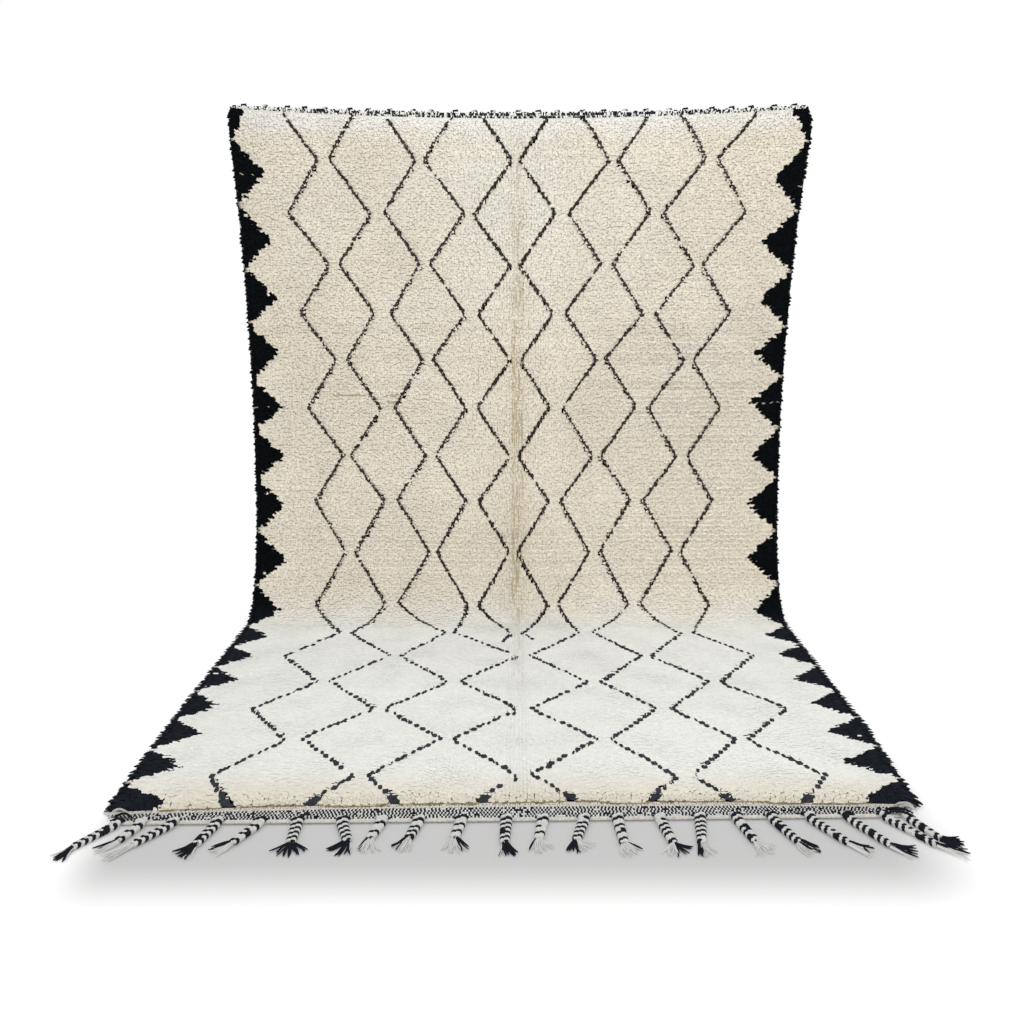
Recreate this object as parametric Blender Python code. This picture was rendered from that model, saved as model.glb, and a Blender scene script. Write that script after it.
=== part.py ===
"""A hand-knotted shag rug, hung by its top edge, with its lower end run out flat over the floor.

X runs across the rug, Y from the floor end back to the hung end, and Z up from the floor. Each
piece is first laid out flat, in cloth coordinates: across from the centre line, along from the
top of the pile, and height above the cloth's back. drape() then bends it into its hanging form.
"""

import math
import random
from collections import namedtuple

import bmesh
import bpy
from mathutils import Vector, noise

# Driving sizes, in metres
RUG_WIDTH = 1.935  # between the woven sides, below the flare
PILE_LENGTH = 3.022  # knotted field, along the cloth
HUNG_LENGTH = 1.920  # the part of it above the line where the cloth meets the floor
BEND = 0.118  # radius of the catenary's foot, where the cloth turns onto the floor
TOUCH_Y = 0.461  # the line where the cloth meets the floor
CREASE_X = -0.0126  # the centre line, left of the middle because the right corner flares more
GAP = 0.0003  # between pieces that touch
FLAT = 0.00001  # how near a face lies to a plane that it is in

# How the hung end spreads, sags and waves
FLARE_LEFT = 0.056  # share by which the top corner stands out
FLARE_RIGHT = 0.088
FLARE_FADE = 0.58  # length over which the flare dies away
CORNER_LEFT = 0.016  # share by which the top corner itself curls back in
CORNER_RIGHT = 0.028
CORNER_FADE = 0.036
TAPER_LEFT = 0.008  # share by which the floor end draws in
TAPER_RIGHT = 0.019
TAPER_LENGTH = 0.36
END_SKEW = -0.0165  # the floor end lies askew, by this much for each metre across
END_BOW = 0.026  # how far the pile runs on at the sides, past its end on the centre line
END_FADE = 0.20
SAG = 0.034  # dip of the top edge between its corners
SAG_FADE = 0.09
WAVE_DEPTH = 0.007  # soft folds of the hung cloth
WAVE_PITCH = 0.64
WAVE_START = 0.9  # where the folds lie across the cloth, as an angle
WAVE_DRIFT = 1.3  # how far they drift sideways on the way down
SWELL_SHARPNESS = 1.5
CREASE_DEPTH = 0.008  # storage fold down the centre line
CREASE_HALF = 0.055

# The cloth: a woven ground, its pile, and flat-woven ends
GROUND = 0.003
PILE_FOOT = 0.009  # height at which the rim's locks part from the wall
PILE_TOP = 0.0175
LUMP_DEPTH = 0.0028
LUMP_SIZE = 0.11
PARTING_DEPTH = 0.006  # groove where the pile parts over the crease
PARTING_HALF = 0.022
BAND_BOTTOM = 0.065  # flat-woven end beyond the pile, at the floor end
BAND_TOP_SIDE = 0.007  # what shows of the band at the hung end, at the corners
BAND_TOP_MIDDLE = 0.018
LOCK_REACH = 0.008
LOCK_UNEVEN = (0.55, 1.3)  # shortest and longest lock, as shares of the reach
LOCK_TIP = 0.35  # a lock's tip, as a share of its root
LOCK_NAP = 0.004  # how far it leans along the cloth
LOCK_DROOP = 0.002

# Side cords, wound with yarn
CORD_RADIUS = 0.004
CORD_UNEVEN = 0.08

# Fringe: warps plaited in threes from a rolled edge
EDGE_WIDTH = 0.016
EDGE_FOOT = 0.0045
EDGE_CROWN = 0.008
PLAIT_WIDTH = 0.024
PLAIT_HEIGHT = 0.0125
PLAIT_RIB = 0.018  # length of one crossing of the plait
PLAIT_WAIST = 0.78  # width between crossings, as a share of the full width
TAIL_HEIGHT = 0.005
TAIL_WIDTH = 0.0042
TAILS = 4  # loose ends to a plait
TOP_PLAITS = 27
TOP_STRAY = 0.009  # how far a plait stands from its even place
TOP_TURN = 0.005  # radius at which a plait turns over the edge
TOP_WIDTH = 0.020
TOP_HEIGHT = 0.007
TOP_HANG = 0.022  # length of one crossing, and the number of them
TOP_CROSSINGS = 4
TOP_TAIL = 0.048
TOP_EDGE = 0.006  # height and thickness of the rolled edge at the hung end
TOP_TAILS = 2

Stretch = namedtuple("Stretch", "until step")
ROW_STRETCHES = (
    Stretch(0.03, 0.0300),
    Stretch(1.53, 0.0850),
    Stretch(2.00, 0.0435),
    Stretch(PILE_LENGTH, 0.0846),
)
CREASE_COLUMNS = (0.0, 0.018, 0.048, 0.098)
OUTER_COLUMNS = 10

# Floor plaits, left to right: place across, lean from straight out in degrees, plaited length,
# then the loose ends' lean, length and half their fan.
Plait = namedtuple("Plait", "across lean length tail_lean tail fan")
FLOOR_PLAITS = (
    Plait(-0.924, -34, 0.118, -36, 0.052, 10),
    Plait(-0.861, -27, 0.076, -33, 0.050, 10),
    Plait(-0.788, -30, 0.092, -38, 0.050, 11),
    Plait(-0.685, -20, 0.088, -25, 0.040, 26),
    Plait(-0.591, -30, 0.087, -38, 0.048, 18),
    Plait(-0.501, -1, 0.076, 6, 0.042, 44),
    Plait(-0.406, 17, 0.078, -4, 0.045, 32),
    Plait(-0.310, -14, 0.086, 4, 0.048, 22),
    Plait(-0.222, -14, 0.080, -22, 0.048, 20),
    Plait(-0.132, -9, 0.082, -8, 0.050, 24),
    Plait(-0.025, -2, 0.088, 6, 0.050, 16),
    Plait(0.065, -14, 0.083, 12, 0.047, 30),
    Plait(0.155, -15, 0.073, 2, 0.044, 28),
    Plait(0.241, -6, 0.088, 16, 0.048, 22),
    Plait(0.327, 15, 0.090, -4, 0.046, 34),
    Plait(0.426, -11, 0.088, 0, 0.050, 14),
    Plait(0.505, 19, 0.088, 30, 0.048, 22),
    Plait(0.594, 21, 0.088, 36, 0.048, 18),
    Plait(0.675, 36, 0.088, 38, 0.052, 14),
    Plait(0.762, 34, 0.095, 44, 0.052, 12),
    Plait(0.850, 37, 0.112, 52, 0.062, 12),
    Plait(0.920, 54, 0.078, 66, 0.045, 12),
)

COLOURS = {
    "rug_cloth": (0.80, 0.73, 0.60),
    "selvedge_left": (0.34, 0.33, 0.31),
    "selvedge_right": (0.34, 0.33, 0.31),
    "fringe_bottom": (0.52, 0.50, 0.47),
    "fringe_top": (0.42, 0.40, 0.38),
}


def bow(across):
    """One on the centre line, nought at the sides."""
    return 1 - min(1.0, abs(2 * across / RUG_WIDTH)) ** 2


def spread(across, along):
    """How far the cloth is stretched sideways here."""
    flare = FLARE_RIGHT if across > 0 else FLARE_LEFT
    corner = CORNER_RIGHT if across > 0 else CORNER_LEFT
    taper = TAPER_RIGHT if across > 0 else TAPER_LEFT
    down = max(along, 0)
    out = flare * math.exp(-down / FLARE_FADE) - corner * math.exp(-down / CORNER_FADE)
    return 1 + out - taper * max(0.0, (along - PILE_LENGTH) / TAPER_LENGTH + 1)


def end_drift(across, along):
    """How far the floor end runs on past where a square and straight end would lie."""
    near = max(0.0, min(1.0, (along - PILE_LENGTH) / END_FADE + 1))
    beyond = max(0.0, min(1.0, (along - PILE_LENGTH) / BAND_BOTTOM))
    return near**2 * (END_SKEW * across + END_BOW * (1 - bow(across)) * (1 - beyond))


def folds(across, along):
    """How far the hung cloth stands forward of its smooth form."""
    hung = max(0.0, min(1.0, along / HUNG_LENGTH))
    swell = math.sin(math.pi * hung) ** SWELL_SHARPNESS
    wave = math.sin(2 * math.pi * across / WAVE_PITCH + WAVE_START + WAVE_DRIFT * hung)
    crease = math.exp(-((across / CREASE_HALF) ** 2))
    return swell * (WAVE_DEPTH * wave - CREASE_DEPTH * crease)


def drape(across, along, height):
    """The place of a point of the flat cloth, once it hangs and lies."""
    dipped = along + SAG * bow(across) * math.exp(-max(along, 0) / SAG_FADE)
    left = HUNG_LENGTH - dipped - end_drift(across, along)  # cloth between here and the floor
    if left > 0:
        back = BEND * math.asinh(left / BEND)
        up = math.hypot(BEND, left) - BEND
        tilt = math.atan2(left, BEND)
    else:
        back, up, tilt = left, 0.0, 0.0
    out = height + folds(across, along)
    return Vector(
        (
            CREASE_X + across * spread(across, along),
            TOUCH_Y + back - out * math.sin(tilt),
            up + out * math.cos(tilt),
        )
    )


def pile_height(across, along):
    """The pile's uneven top, parted along the crease."""
    lump = noise.noise(Vector((across / LUMP_SIZE, along / LUMP_SIZE, 0.5)))
    parting = math.exp(-((across / PARTING_HALF) ** 2))
    return PILE_TOP + LUMP_DEPTH * lump - PARTING_DEPTH * parting


def band_top(across):
    """What shows of the flat weave above the pile, at the hung end."""
    return BAND_TOP_SIDE + (BAND_TOP_MIDDLE - BAND_TOP_SIDE) * bow(across)


def row_places():
    """Rows of the cloth's grid: the band's end, the pile's rows, and the other band's end."""
    rows = [-1.0, 0.0]
    for stretch in ROW_STRETCHES:
        first = rows[-1]
        count = round((stretch.until - first) / stretch.step)
        rows += [first + (stretch.until - first) * (i + 1) / count for i in range(count)]
    return rows + [PILE_LENGTH + BAND_BOTTOM]


def column_places():
    """Columns of the cloth's grid, closest at the crease."""
    last = CREASE_COLUMNS[-1]
    step = (RUG_WIDTH / 2 - last) / OUTER_COLUMNS
    half = list(CREASE_COLUMNS[1:]) + [last + step * (i + 1) for i in range(OUTER_COLUMNS)]
    return [-c for c in reversed(half)] + [0.0] + half


def flat_grid(columns, rows):
    """A sheet of faces lying flat, with a vertex at each column and row."""
    bm = bmesh.new()
    bmesh.ops.create_grid(bm, x_segments=len(columns) - 1, y_segments=len(rows) - 1, size=1)
    for v in bm.verts:
        column = round((v.co.x + 1) / 2 * (len(columns) - 1))
        row = round((v.co.y + 1) / 2 * (len(rows) - 1))
        v.co = (columns[column], rows[row], 0.0)
    return bm


def raise_faces(bm, faces, height):
    """Extrudes a region of faces up to a height, and returns the raised faces."""
    edges = list({e for f in faces for e in f.edges})
    grown = bmesh.ops.extrude_face_region(bm, geom=faces + edges)["geom"]
    for v in grown:
        if isinstance(v, bmesh.types.BMVert):
            v.co.z = height
    return [f for f in grown if isinstance(f, bmesh.types.BMFace)]


def finish(name, bm):
    """Makes a named object from a flat mesh, draped and with its own material."""
    for v in bm.verts:
        v.co = drape(*v.co)
    bmesh.ops.recalc_face_normals(bm, faces=bm.faces[:])
    if bm.calc_volume(signed=True) < 0:
        bmesh.ops.reverse_faces(bm, faces=bm.faces[:])
    mesh = bpy.data.meshes.new(name)
    bm.to_mesh(mesh)
    bm.free()
    mesh.shade_smooth()
    mesh.set_sharp_from_angle(angle=math.radians(50))
    add_object(name, mesh)


def add_object(name, data):
    """Puts an object in the rug's collection, in its own material."""
    ob = bpy.data.objects.new(name, data)
    ob.data.materials.append(wool(name, COLOURS[name]))
    bpy.data.collections[COLLECTION].objects.link(ob)


def wool(name, colour):
    material = bpy.data.materials.new(name)
    material.use_nodes = True
    shader = material.node_tree.nodes["Principled BSDF"]
    shader.inputs["Base Color"].default_value = (*colour, 1)
    shader.inputs["Roughness"].default_value = 0.92
    shader.inputs["Metallic"].default_value = 0
    return material


def add_locks(bm, draw):
    """Pulls the upper wall of the pile out into blunt locks, at the sides and the floor end."""
    edge = RUG_WIDTH / 2
    for face in sorted(bm.faces, key=lambda f: f.calc_center_median().to_tuple(4)):
        middle = face.calc_center_median()
        if middle.z < PILE_FOOT or face.normal.z > 0.5:
            continue
        if abs(middle.x) > edge - FLAT:
            out = Vector((math.copysign(1, middle.x), 0, 0))
        elif middle.y > PILE_LENGTH - FLAT:
            out = Vector((0, 1, 0))
        else:
            continue
        lock = bmesh.ops.extrude_discrete_faces(bm, faces=[face])["faces"][0]
        reach = LOCK_REACH * draw.uniform(*LOCK_UNEVEN)
        tip = middle + out * reach + Vector((0, LOCK_NAP, -LOCK_DROOP))
        for v in lock.verts:
            v.co = tip + (v.co - middle) * LOCK_TIP


def build_cloth():
    """The one woven piece: ground, knotted pile with locks at its rim, and flat-woven ends."""
    bm = flat_grid(column_places(), row_places())
    for v in bm.verts:
        if v.co.y < 0:
            v.co.y = -band_top(v.co.x)
    ground = raise_faces(bm, bm.faces[:], GROUND)
    knotted = [f for f in ground if 0 < f.calc_center_median().y < PILE_LENGTH]
    foot = raise_faces(bm, knotted, PILE_FOOT)
    top = raise_faces(bm, foot, PILE_TOP)
    for v in {v for f in top for v in f.verts}:
        v.co.z = pile_height(v.co.x, v.co.y)
    bmesh.ops.recalc_face_normals(bm, faces=bm.faces[:])
    add_locks(bm, random.Random(11))
    finish("rug_cloth", bm)


def build_side_cord(name, side):
    """The wound cord down one side of the cloth, resting beside its ground."""
    draw = random.Random(name)
    curve = bpy.data.curves.new(name, "CURVE")
    curve.dimensions = "3D"
    curve.bevel_depth = CORD_RADIUS
    curve.bevel_resolution = 1
    curve.use_fill_caps = True
    widest = CORD_RADIUS * (1 + CORD_UNEVEN)
    across = side * (RUG_WIDTH / 2 + GAP + widest)
    rows = [-BAND_TOP_SIDE] + row_places()[1:]
    spline = curve.splines.new("POLY")
    spline.points.add(len(rows) - 1)
    for point, along in zip(spline.points, rows):
        point.co = (*drape(across, along, widest), 1)
        point.radius = 1 + draw.uniform(-CORD_UNEVEN, CORD_UNEVEN)
    add_object(name, curve)


def extend(bm, face, centre, across, up, width, height):
    """Extrudes a four-sided face, and sets its end's centre, width and height."""
    face = bmesh.ops.extrude_discrete_faces(bm, faces=[face])["faces"][0]
    middle = face.calc_center_median()
    for v in face.verts:
        off = v.co - middle
        sideways = math.copysign(width / 2, off.dot(across))
        v.co = centre + across * sideways + up * math.copysign(height / 2, off.dot(up))
    return face


def split_cap(bm, cap, across, count):
    """Cuts a plait's four-sided cap into faces side by side, one for each loose end."""
    middle = cap.calc_center_median()
    ahead = (cap.verts[1].co - cap.verts[0].co).cross(cap.verts[2].co - cap.verts[1].co).normalized()
    level = [
        e for e in cap.edges if abs((e.verts[0].co - e.verts[1].co).normalized().dot(across)) > 0.7
    ]
    bmesh.ops.subdivide_edges(bm, edges=level, cuts=count - 1)
    faces = [
        f
        for f in bm.faces
        if (f.calc_center_median() - middle).length < PLAIT_WIDTH
        and all(abs((v.co - middle).dot(ahead)) < FLAT for v in f.verts)
    ]
    return sorted(faces, key=lambda f: f.calc_center_median().dot(across))


def heading(lean):
    """The direction of a floor strand, and the direction to its right as it runs."""
    turn = math.radians(lean)
    return Vector((math.sin(turn), math.cos(turn), 0)), Vector((math.cos(turn), -math.sin(turn), 0))


def grow_floor_plait(bm, root, plait):
    """Runs one plait out over the floor from the rolled edge, with its loose ends fanned out."""
    up = Vector((0, 0, 1))
    at = root.calc_center_median()
    steps = 2 * round(plait.length / PLAIT_RIB)
    for i in range(steps):
        ahead, right = heading(plait.lean * min(1, (i + 1) / 3))
        at = at + ahead * plait.length / steps
        share = PLAIT_WAIST if i % 2 else 1.0
        height = PLAIT_HEIGHT * (1 + share) / 2
        at.z = height / 2
        root = extend(bm, root, at, right, up, PLAIT_WIDTH * share, height)
    for i, face in enumerate(split_cap(bm, root, right, TAILS)):
        side = 2 * i / (TAILS - 1) - 1
        ahead, right = heading(plait.tail_lean + side * plait.fan)
        start = face.calc_center_median()
        for share in (0.45, 1.0):
            end = start + ahead * plait.tail * share * (1 - 0.12 * (i % 2))
            end.z = TAIL_HEIGHT / 2 * (1.6 - 0.6 * share)
            width = TAIL_WIDTH * (1.25 - 0.45 * share)
            face = extend(bm, face, end, right, up, width, 2 * end.z)


def edge_columns(places, half_length):
    """Columns of a rolled edge: its ends, and both sides of each plait's root."""
    roots = [p + side * PLAIT_WIDTH / 2 for p in places for side in (-0.9, 0.9)]
    return [-half_length] + roots + [half_length]


def roots_of(bm, places, way):
    """The wall faces of a rolled edge from which its plaits grow, in order."""
    bmesh.ops.recalc_face_normals(bm, faces=bm.faces[:])
    wall = [f for f in bm.faces if f.normal.y * way > 0.5]
    return [min(wall, key=lambda f: abs(f.calc_center_median().x - place)) for place in places]


def build_floor_fringe():
    """The rolled edge beyond the band at the floor end, with the plaits that grow from it."""
    first = PILE_LENGTH + BAND_BOTTOM + GAP
    last = first + EDGE_WIDTH
    places = [p.across for p in FLOOR_PLAITS]
    columns = edge_columns(places, RUG_WIDTH / 2 - 0.015)
    bm = flat_grid(columns, [first, (first + last) / 2, last])
    for v in {v for f in raise_faces(bm, bm.faces[:], EDGE_FOOT) for v in f.verts}:
        if first < v.co.y - GAP and v.co.y + GAP < last:
            v.co.z = EDGE_CROWN
    for root, plait in zip(roots_of(bm, places, 1), FLOOR_PLAITS):
        grow_floor_plait(bm, root, plait)
    finish("fringe_bottom", bm)


def grow_hung_plait(bm, root, draw):
    """Turns one plait back over the top edge, and lets it hang behind the cloth."""
    right = Vector((1, 0, 0))
    at = root.calc_center_median()
    lean = draw.uniform(-TOP_STRAY, TOP_STRAY) / TOP_CROSSINGS
    for turn in (35, 90, 145):  # over the edge, in degrees
        angle = math.radians(turn)
        up = Vector((0, -math.sin(angle), math.cos(angle)))
        arc = Vector((0, -math.sin(angle), -(1 - math.cos(angle))))
        centre = at + arc * TOP_TURN
        root = extend(bm, root, centre, right, up, TOP_WIDTH, TOP_HEIGHT)
    up = Vector((0, 0, -1))
    for i in range(TOP_CROSSINGS):
        share = PLAIT_WAIST if i % 2 else 1.0
        centre = centre + Vector((lean, TOP_HANG, -0.0012))
        root = extend(bm, root, centre, right, up, PLAIT_WIDTH * share, PLAIT_HEIGHT * share)
    for i, face in enumerate(split_cap(bm, root, right, TOP_TAILS)):
        side = 2 * i / (TOP_TAILS - 1) - 1
        end = face.calc_center_median() + Vector((side * TAIL_WIDTH, TOP_TAIL, 0))
        extend(bm, face, end, right, up, TAIL_WIDTH, TAIL_HEIGHT)


def build_hung_fringe():
    """The rolled edge above the band at the hung end, with plaits that turn over behind it."""
    draw = random.Random(27)
    pitch = RUG_WIDTH / TOP_PLAITS
    places = [
        (i + 0.5) * pitch - RUG_WIDTH / 2 + draw.uniform(-TOP_STRAY, TOP_STRAY)
        for i in range(TOP_PLAITS)
    ]
    columns = edge_columns(places, RUG_WIDTH / 2 - 0.002)
    bm = flat_grid(columns, [-TOP_EDGE, 0.0])
    raise_faces(bm, bm.faces[:], TOP_EDGE)
    for v in bm.verts:
        v.co.y -= band_top(v.co.x) + GAP
    for root in roots_of(bm, places, -1):
        grow_hung_plait(bm, root, draw)
    finish("fringe_top", bm)


COLLECTION = "shag_rug"

for old in list(bpy.data.objects):
    bpy.data.objects.remove(old)
bpy.context.scene.collection.children.link(bpy.data.collections.new(COLLECTION))
build_cloth()
build_side_cord("selvedge_left", -1)
build_side_cord("selvedge_right", 1)
build_floor_fringe()
build_hung_fringe()
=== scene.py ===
"""The looks of a hand-knotted shag rug that hangs by its top edge and runs out over the floor.

Every piece is first laid out flat, in cloth coordinates: across from the centre line, along from
the top of the pile, and height above the cloth's back. drape() then bends it into its hanging
form, the same as the frame's solids have. Small repeated things, such as the locks of the pile,
are copies of one small shape, joined into one mesh.
"""

import math
import random
from collections import namedtuple

import bmesh
import bpy
import numpy as np
from mathutils import Matrix, Vector, noise


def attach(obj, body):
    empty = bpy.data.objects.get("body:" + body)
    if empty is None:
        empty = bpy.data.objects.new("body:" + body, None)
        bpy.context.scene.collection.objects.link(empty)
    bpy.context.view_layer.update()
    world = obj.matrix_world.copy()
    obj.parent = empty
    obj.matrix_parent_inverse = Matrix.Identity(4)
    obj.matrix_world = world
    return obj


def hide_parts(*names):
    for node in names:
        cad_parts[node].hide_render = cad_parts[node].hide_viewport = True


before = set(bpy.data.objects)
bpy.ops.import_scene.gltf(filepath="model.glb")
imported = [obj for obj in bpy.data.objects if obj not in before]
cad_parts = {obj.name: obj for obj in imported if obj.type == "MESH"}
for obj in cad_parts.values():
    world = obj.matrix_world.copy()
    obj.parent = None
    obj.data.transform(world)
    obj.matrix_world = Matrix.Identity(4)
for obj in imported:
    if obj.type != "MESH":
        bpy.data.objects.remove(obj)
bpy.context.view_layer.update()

# The cloth's sizes and form, in metres, as in the frame
RUG_WIDTH = 1.935  # between the side cords
PILE_LENGTH = 3.022
HUNG_LENGTH = 1.920  # above the line where the cloth meets the floor
BEND = 0.118  # radius of the catenary's foot
TOUCH_Y = 0.461  # where the cloth meets the floor
CREASE_X = -0.0126  # of the crease, where the rug was folded
GAP = 0.0003  # between the solids
FLARE_LEFT = 0.056  # how much wider the hung end is, as a share
FLARE_RIGHT = 0.088
FLARE_FADE = 0.58
CORNER_LEFT = 0.016  # how much narrower it is again at its corners
CORNER_RIGHT = 0.028
CORNER_FADE = 0.036
TAPER_LEFT = 0.008  # how much narrower the floor end is
TAPER_RIGHT = 0.019
TAPER_LENGTH = 0.36
END_SKEW = -0.0165  # how askew and how bowed the floor end is
END_BOW = 0.026
END_FADE = 0.20
SAG = 0.034  # of the top edge, between its corners
SAG_FADE = 0.09
WAVE_DEPTH = 0.007  # of the hung cloth's soft folds
WAVE_PITCH = 0.64
WAVE_START = 0.9
WAVE_DRIFT = 1.3
SWELL_SHARPNESS = 1.5
CREASE_DEPTH = 0.008
CREASE_HALF = 0.055
GROUND = 0.003  # thickness of the woven ground
PILE_TOP = 0.0175
LUMP_DEPTH = 0.0028  # of the pile's uneven top
LUMP_SIZE = 0.11
PARTING_DEPTH = 0.006  # of the pile, along the crease
PARTING_HALF = 0.022
BAND_BOTTOM = 0.065  # flat weave beyond the pile, at the floor end
DRAWN_IN = 0.045  # how much narrower that band is at its end
BAND_TOP_SIDE = 0.007  # flat weave above the pile, at the hung end
BAND_TOP_MIDDLE = 0.018

# Knots: a lock of yarn each, close together in rows
ROWS = 338
COLUMNS = 220
ROW = PILE_LENGTH / (ROWS - 0.5)
KNOT = RUG_WIDTH / COLUMNS
FIRST_ROW = 0.1  # the first row's place, as a share of a row
BED_BELOW = 0.0050  # the close-packed feet of the knots, under the pile's top
ROOT_BELOW = 0.0060
BELLY_BELOW = 0.0022
TIP_BELOW = 0.0016
LOCK_REACH = 0.0185
LOCK_BELLY = 0.72  # where a lock is widest, as a share of its reach
LOCK_HALF = 0.0057
LOCK_FLAT = 0.42  # a lock's thickness, as a share of its width
NAP_TURN = 1.25  # how far the locks at the sides lie over towards the middle, as an angle
PILE_PIECES = 4

# Colours of the wool, as light it sends back
CREAM = (0.795, 0.738, 0.625)
CREAM_PALE = (0.785, 0.755, 0.665)
CREAM_FLOOR = (0.775, 0.780, 0.748)
CREAM_TOP = (0.86, 0.85, 0.81)
TAN = (0.50, 0.385, 0.20)
CHARCOAL = (0.0036, 0.0046, 0.0056)
LINE_DARK = (0.042, 0.034, 0.030)
LINE_DARK_FLOOR = (0.036, 0.040, 0.047)
# Charcoal lighter on the floor: painted sheen of the light that grazes it
CHARCOAL_PAINTED_SHEEN = (0.0115, 0.0145, 0.0195)
OFF_WHITE = (0.64, 0.635, 0.615)
BROWN = (0.26, 0.18, 0.095)
EDGE_CREAM = (0.60, 0.585, 0.54)
# Brown yarn with painted contact shadow, under the rolled edge
EDGE_BROWN_AND_SHADOW = (0.20, 0.155, 0.10)
STRIP_CREAM = (0.66, 0.62, 0.56)
FOOT_TAN = (0.27, 0.215, 0.11)
CREASE_TAN = (0.56, 0.46, 0.28)
CREAM_END = (0.695, 0.655, 0.55)
GREY = (0.22, 0.22, 0.23)

GRID = (ROWS, COLUMNS)
KNOT_ACROSS = (np.arange(COLUMNS) + 0.5) * KNOT - RUG_WIDTH / 2
KNOT_ALONG = (np.arange(ROWS) + FIRST_ROW) * ROW


# ---------------- the cloth's form


def bow(across):
    """One on the centre line, nought at the sides."""
    return 1 - np.minimum(1.0, np.abs(2 * across / RUG_WIDTH)) ** 2


def spread(across, along):
    """How far the cloth is stretched sideways here."""
    flare = np.where(across > 0, FLARE_RIGHT, FLARE_LEFT)
    corner = np.where(across > 0, CORNER_RIGHT, CORNER_LEFT)
    taper = np.where(across > 0, TAPER_RIGHT, TAPER_LEFT)
    down = np.maximum(along, 0)
    out = flare * np.exp(-down / FLARE_FADE) - corner * np.exp(-down / CORNER_FADE)
    return 1 + out - taper * np.maximum(0, (along - PILE_LENGTH) / TAPER_LENGTH + 1)


def end_drift(across, along):
    """How far the floor end runs on past where a square and straight end would lie."""
    near = np.clip((along - PILE_LENGTH) / END_FADE + 1, 0, 1)
    beyond = np.clip((along - PILE_LENGTH) / BAND_BOTTOM, 0, 1)
    return near**2 * (END_SKEW * across + END_BOW * (1 - bow(across)) * (1 - beyond))


def folds(across, along):
    """How far the hung cloth stands forward of its smooth form."""
    hung = np.clip(along / HUNG_LENGTH, 0.0, 1.0)
    swell = np.maximum(0, np.sin(math.pi * hung)) ** SWELL_SHARPNESS
    wave = np.sin(2 * math.pi * across / WAVE_PITCH + WAVE_START + WAVE_DRIFT * hung)
    crease = np.exp(-((across / CREASE_HALF) ** 2))
    return swell * (WAVE_DEPTH * wave - CREASE_DEPTH * crease)


def drape(flat):
    """The places of points of the flat cloth, once it hangs and lies."""
    across, along, height = flat[..., 0], flat[..., 1], flat[..., 2]
    dipped = along + SAG * bow(across) * np.exp(-np.maximum(along, 0) / SAG_FADE)
    left = HUNG_LENGTH - dipped - end_drift(across, along)  # cloth between here and the floor
    hung = np.maximum(left, 0)
    back = np.where(left > 0, BEND * np.arcsinh(hung / BEND), left)
    up = np.hypot(BEND, hung) - BEND
    tilt = np.arctan2(hung, BEND)
    out = height + folds(across, along)
    x = CREASE_X + across * spread(across, along)
    y = TOUCH_Y + back - out * np.sin(tilt)
    z = up + out * np.cos(tilt)
    return np.stack([x, y, z], axis=-1)


def band_top(across):
    """What shows of the flat weave above the pile, at the hung end."""
    return BAND_TOP_SIDE + (BAND_TOP_MIDDLE - BAND_TOP_SIDE) * bow(across)


def soft_noise(across, along, grain, level):
    """Soft noise over the cloth, with bumps about as wide as grain. Each level has its own."""
    across, along = np.broadcast_arrays(across, along)
    places = zip(np.ravel(across) / grain, np.ravel(along) / grain)
    return np.reshape([noise.noise(Vector((a, b, level))) for a, b in places], across.shape)


def pile_top(across, along):
    """The pile's uneven top, parted along the crease."""
    parting = PARTING_DEPTH * np.exp(-((across / PARTING_HALF) ** 2))
    return PILE_TOP + LUMP_DEPTH * soft_noise(across, along, LUMP_SIZE, 0.5) - parting


def drawn_in(along):
    """How much narrower the flat-woven end is than the pile."""
    return 1 - DRAWN_IN * ease(along, PILE_LENGTH + 0.004, PILE_LENGTH + BAND_BOTTOM)


def unevenness(grain, level):
    """Soft noise over the pile, with one value for each knot."""
    return soft_noise(*np.meshgrid(KNOT_ACROSS, KNOT_ALONG), grain, level)


def ease(values, start, end):
    """Nought before start, one after end, and smooth between."""
    t = np.clip((values - start) / (end - start), 0, 1)
    return t * t * (3 - 2 * t)


# ---------------- small shapes, and many of them

# A strand's shape: rings of points from its root to its end. ring and turn say which ring a
# point is on and at what angle, loops and starts are its faces, sides is each face's angle (or
# END), and patch is where each corner lies in a square patch of colour.
Shape = namedtuple("Shape", "ring turn loops starts sides patch")
END = -9.0


def strand_shape(sides, rings, pointed=False):
    """The shape of a lock, stitch or yarn, from a cone or a cylinder cut into rings."""
    bm = bmesh.new()
    tip = 0.0 if pointed else 1.0
    flat_up = Matrix.Rotation(math.pi, 4, "Z") if sides % 2 else Matrix()
    bmesh.ops.create_cone(
        bm, cap_ends=True, segments=sides, radius1=1, radius2=tip, depth=1, matrix=flat_up
    )
    slopes = [e for e in bm.edges if abs(e.verts[0].co.z - e.verts[1].co.z) > 0.5]
    bmesh.ops.subdivide_edges(bm, edges=slopes, cuts=rings - 2)
    bm.verts.index_update()
    ring = np.array([round((v.co.z + 0.5) * (rings - 1)) for v in bm.verts])
    turn = np.array([math.atan2(v.co.y, v.co.x) for v in bm.verts])
    loops, starts, facing, patch = [], [], [], []
    for face in bm.faces:
        starts.append(len(loops))
        middle = face.calc_center_median()
        side = END if abs(face.normal.z) > 0.99 else math.atan2(middle.y, middle.x)
        facing.append(side)
        for v in face.verts:
            loops.append(v.index)
            patch.append(patch_place(v.co, side))
    bm.free()
    return Shape(ring, turn, np.array(loops), np.array(starts), np.array(facing), np.array(patch))


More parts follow.
